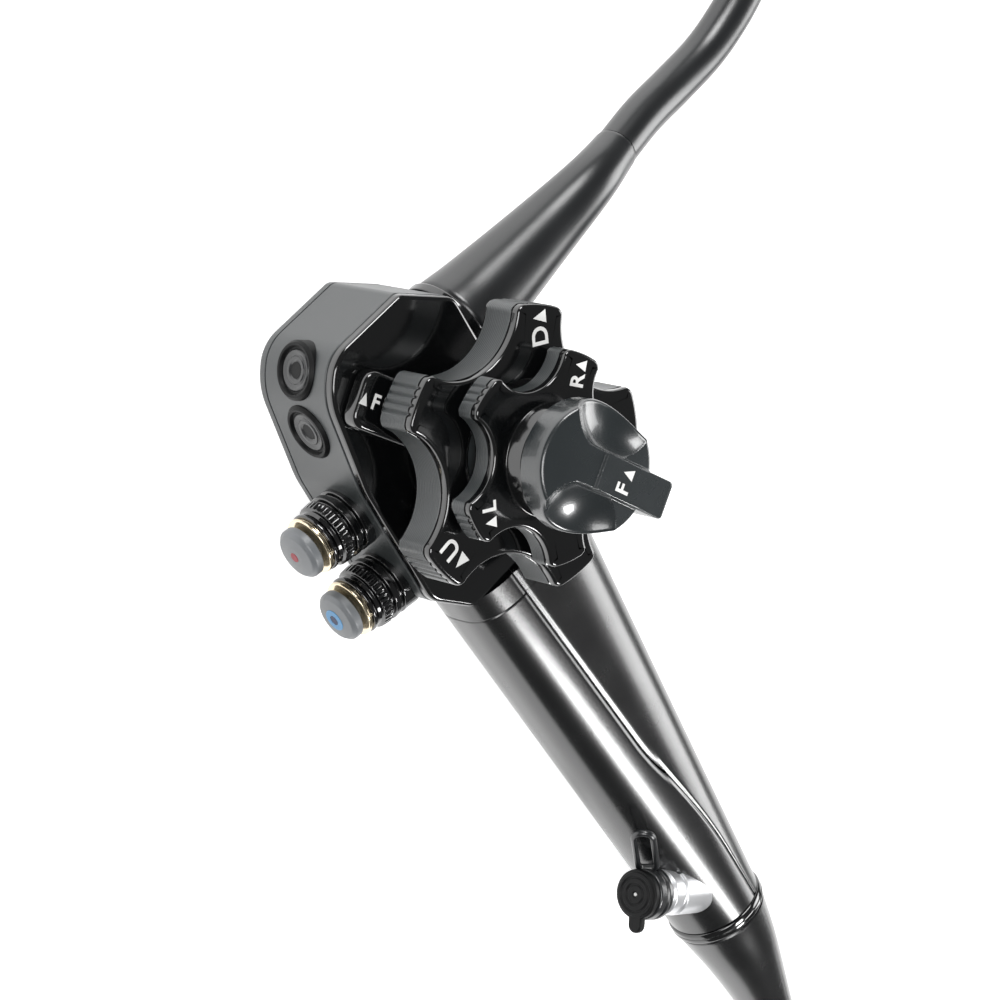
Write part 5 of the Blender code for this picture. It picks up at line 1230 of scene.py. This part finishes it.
class ENDOSCOPE_OT_head(bpy.types.Operator):
    """Housing wall and knob-side cover"""
    bl_idname = "endoscope.head"
    bl_label = "Head"

    def execute(self, context):
        build_head()
        return {"FINISHED"}


class ENDOSCOPE_OT_valves(bpy.types.Operator):
    """Collars, rings and caps of both valves"""
    bl_idname = "endoscope.valves"
    bl_label = "Valves"

    def execute(self, context):
        build_valves(context.scene.endoscope)
        return {"FINISHED"}


class ENDOSCOPE_OT_switches(bpy.types.Operator):
    """Bezels and buttons of both remote switches"""
    bl_idname = "endoscope.switches"
    bl_label = "Switches"

    def execute(self, context):
        build_switches(context.scene.endoscope)
        return {"FINISHED"}


class ENDOSCOPE_OT_grip(bpy.types.Operator):
    """Both grip shells"""
    bl_idname = "endoscope.grip"
    bl_label = "Grip"

    def execute(self, context):
        build_grip()
        return {"FINISHED"}


class ENDOSCOPE_OT_port(bpy.types.Operator):
    """Metal port with its rubber valve, lid and strap"""
    bl_idname = "endoscope.port"
    bl_label = "Channel Port"

    def execute(self, context):
        build_port()
        return {"FINISHED"}


class ENDOSCOPE_OT_bending(bpy.types.Operator):
    """Rubber sleeve over the bending links"""
    bl_idname = "endoscope.bending"
    bl_label = "Bending Section"

    def execute(self, context):
        build_bending()
        return {"FINISHED"}


class ENDOSCOPE_OT_marks(bpy.types.Operator):
    """Paint-filled letters and triangles"""
    bl_idname = "endoscope.marks"
    bl_label = "Marks"

    def execute(self, context):
        build_marks()
        return {"FINISHED"}


class ENDOSCOPE_OT_solids(bpy.types.Operator):
    """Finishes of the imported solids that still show"""
    bl_idname = "endoscope.solids"
    bl_label = "Shown Solids"

    def execute(self, context):
        finish_cad()
        return {"FINISHED"}


class ENDOSCOPE_OT_declare(bpy.types.Operator):
    """Gather the routes, ends and pieces of both cords, without using them"""
    bl_idname = "endoscope.declare"
    bl_label = "Declare Cords"

    def execute(self, context):
        declare_cords(context.scene.endoscope)
        return {"FINISHED"}


class ENDOSCOPE_PT_main(bpy.types.Panel):
    """Settings and building steps of the endoscope"""
    bl_idname = "ENDOSCOPE_PT_main"
    bl_label = "Flexible Endoscope"
    bl_space_type = "VIEW_3D"
    bl_region_type = "UI"
    bl_category = "Endoscope"

    def draw(self, context):
        column = self.layout.column(align=True)
        for name in EndoscopeSettings.__annotations__:
            column.prop(context.scene.endoscope, name)
        column = self.layout.column(align=True)
        for step in STEPS:
            column.operator(step.bl_idname)


# In the order in which they are built
STEPS = (
    ENDOSCOPE_OT_finishes,
    ENDOSCOPE_OT_stage,
    ENDOSCOPE_OT_cords,
    ENDOSCOPE_OT_boots,
    ENDOSCOPE_OT_connector,
    ENDOSCOPE_OT_wheels,
    ENDOSCOPE_OT_knob,
    ENDOSCOPE_OT_lever,
    ENDOSCOPE_OT_head,
    ENDOSCOPE_OT_valves,
    ENDOSCOPE_OT_switches,
    ENDOSCOPE_OT_grip,
    ENDOSCOPE_OT_port,
    ENDOSCOPE_OT_bending,
    ENDOSCOPE_OT_marks,
    ENDOSCOPE_OT_solids,
    ENDOSCOPE_OT_declare,
)
CLASSES = (EndoscopeSettings, *STEPS, ENDOSCOPE_PT_main)


def register():
    """Add the settings, the steps and the panel to Blender."""
    for each in CLASSES:
        bpy.utils.register_class(each)
    bpy.types.Scene.endoscope = PointerProperty(type=EndoscopeSettings)


def unregister():
    """Take them out again."""
    del bpy.types.Scene.endoscope
    for each in reversed(CLASSES):
        bpy.utils.unregister_class(each)


def main():
    """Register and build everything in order."""
    register()
    for step in STEPS:
        getattr(bpy.ops.endoscope, step.bl_idname.split(".")[1])()


if __name__ == "__main__":
    main()
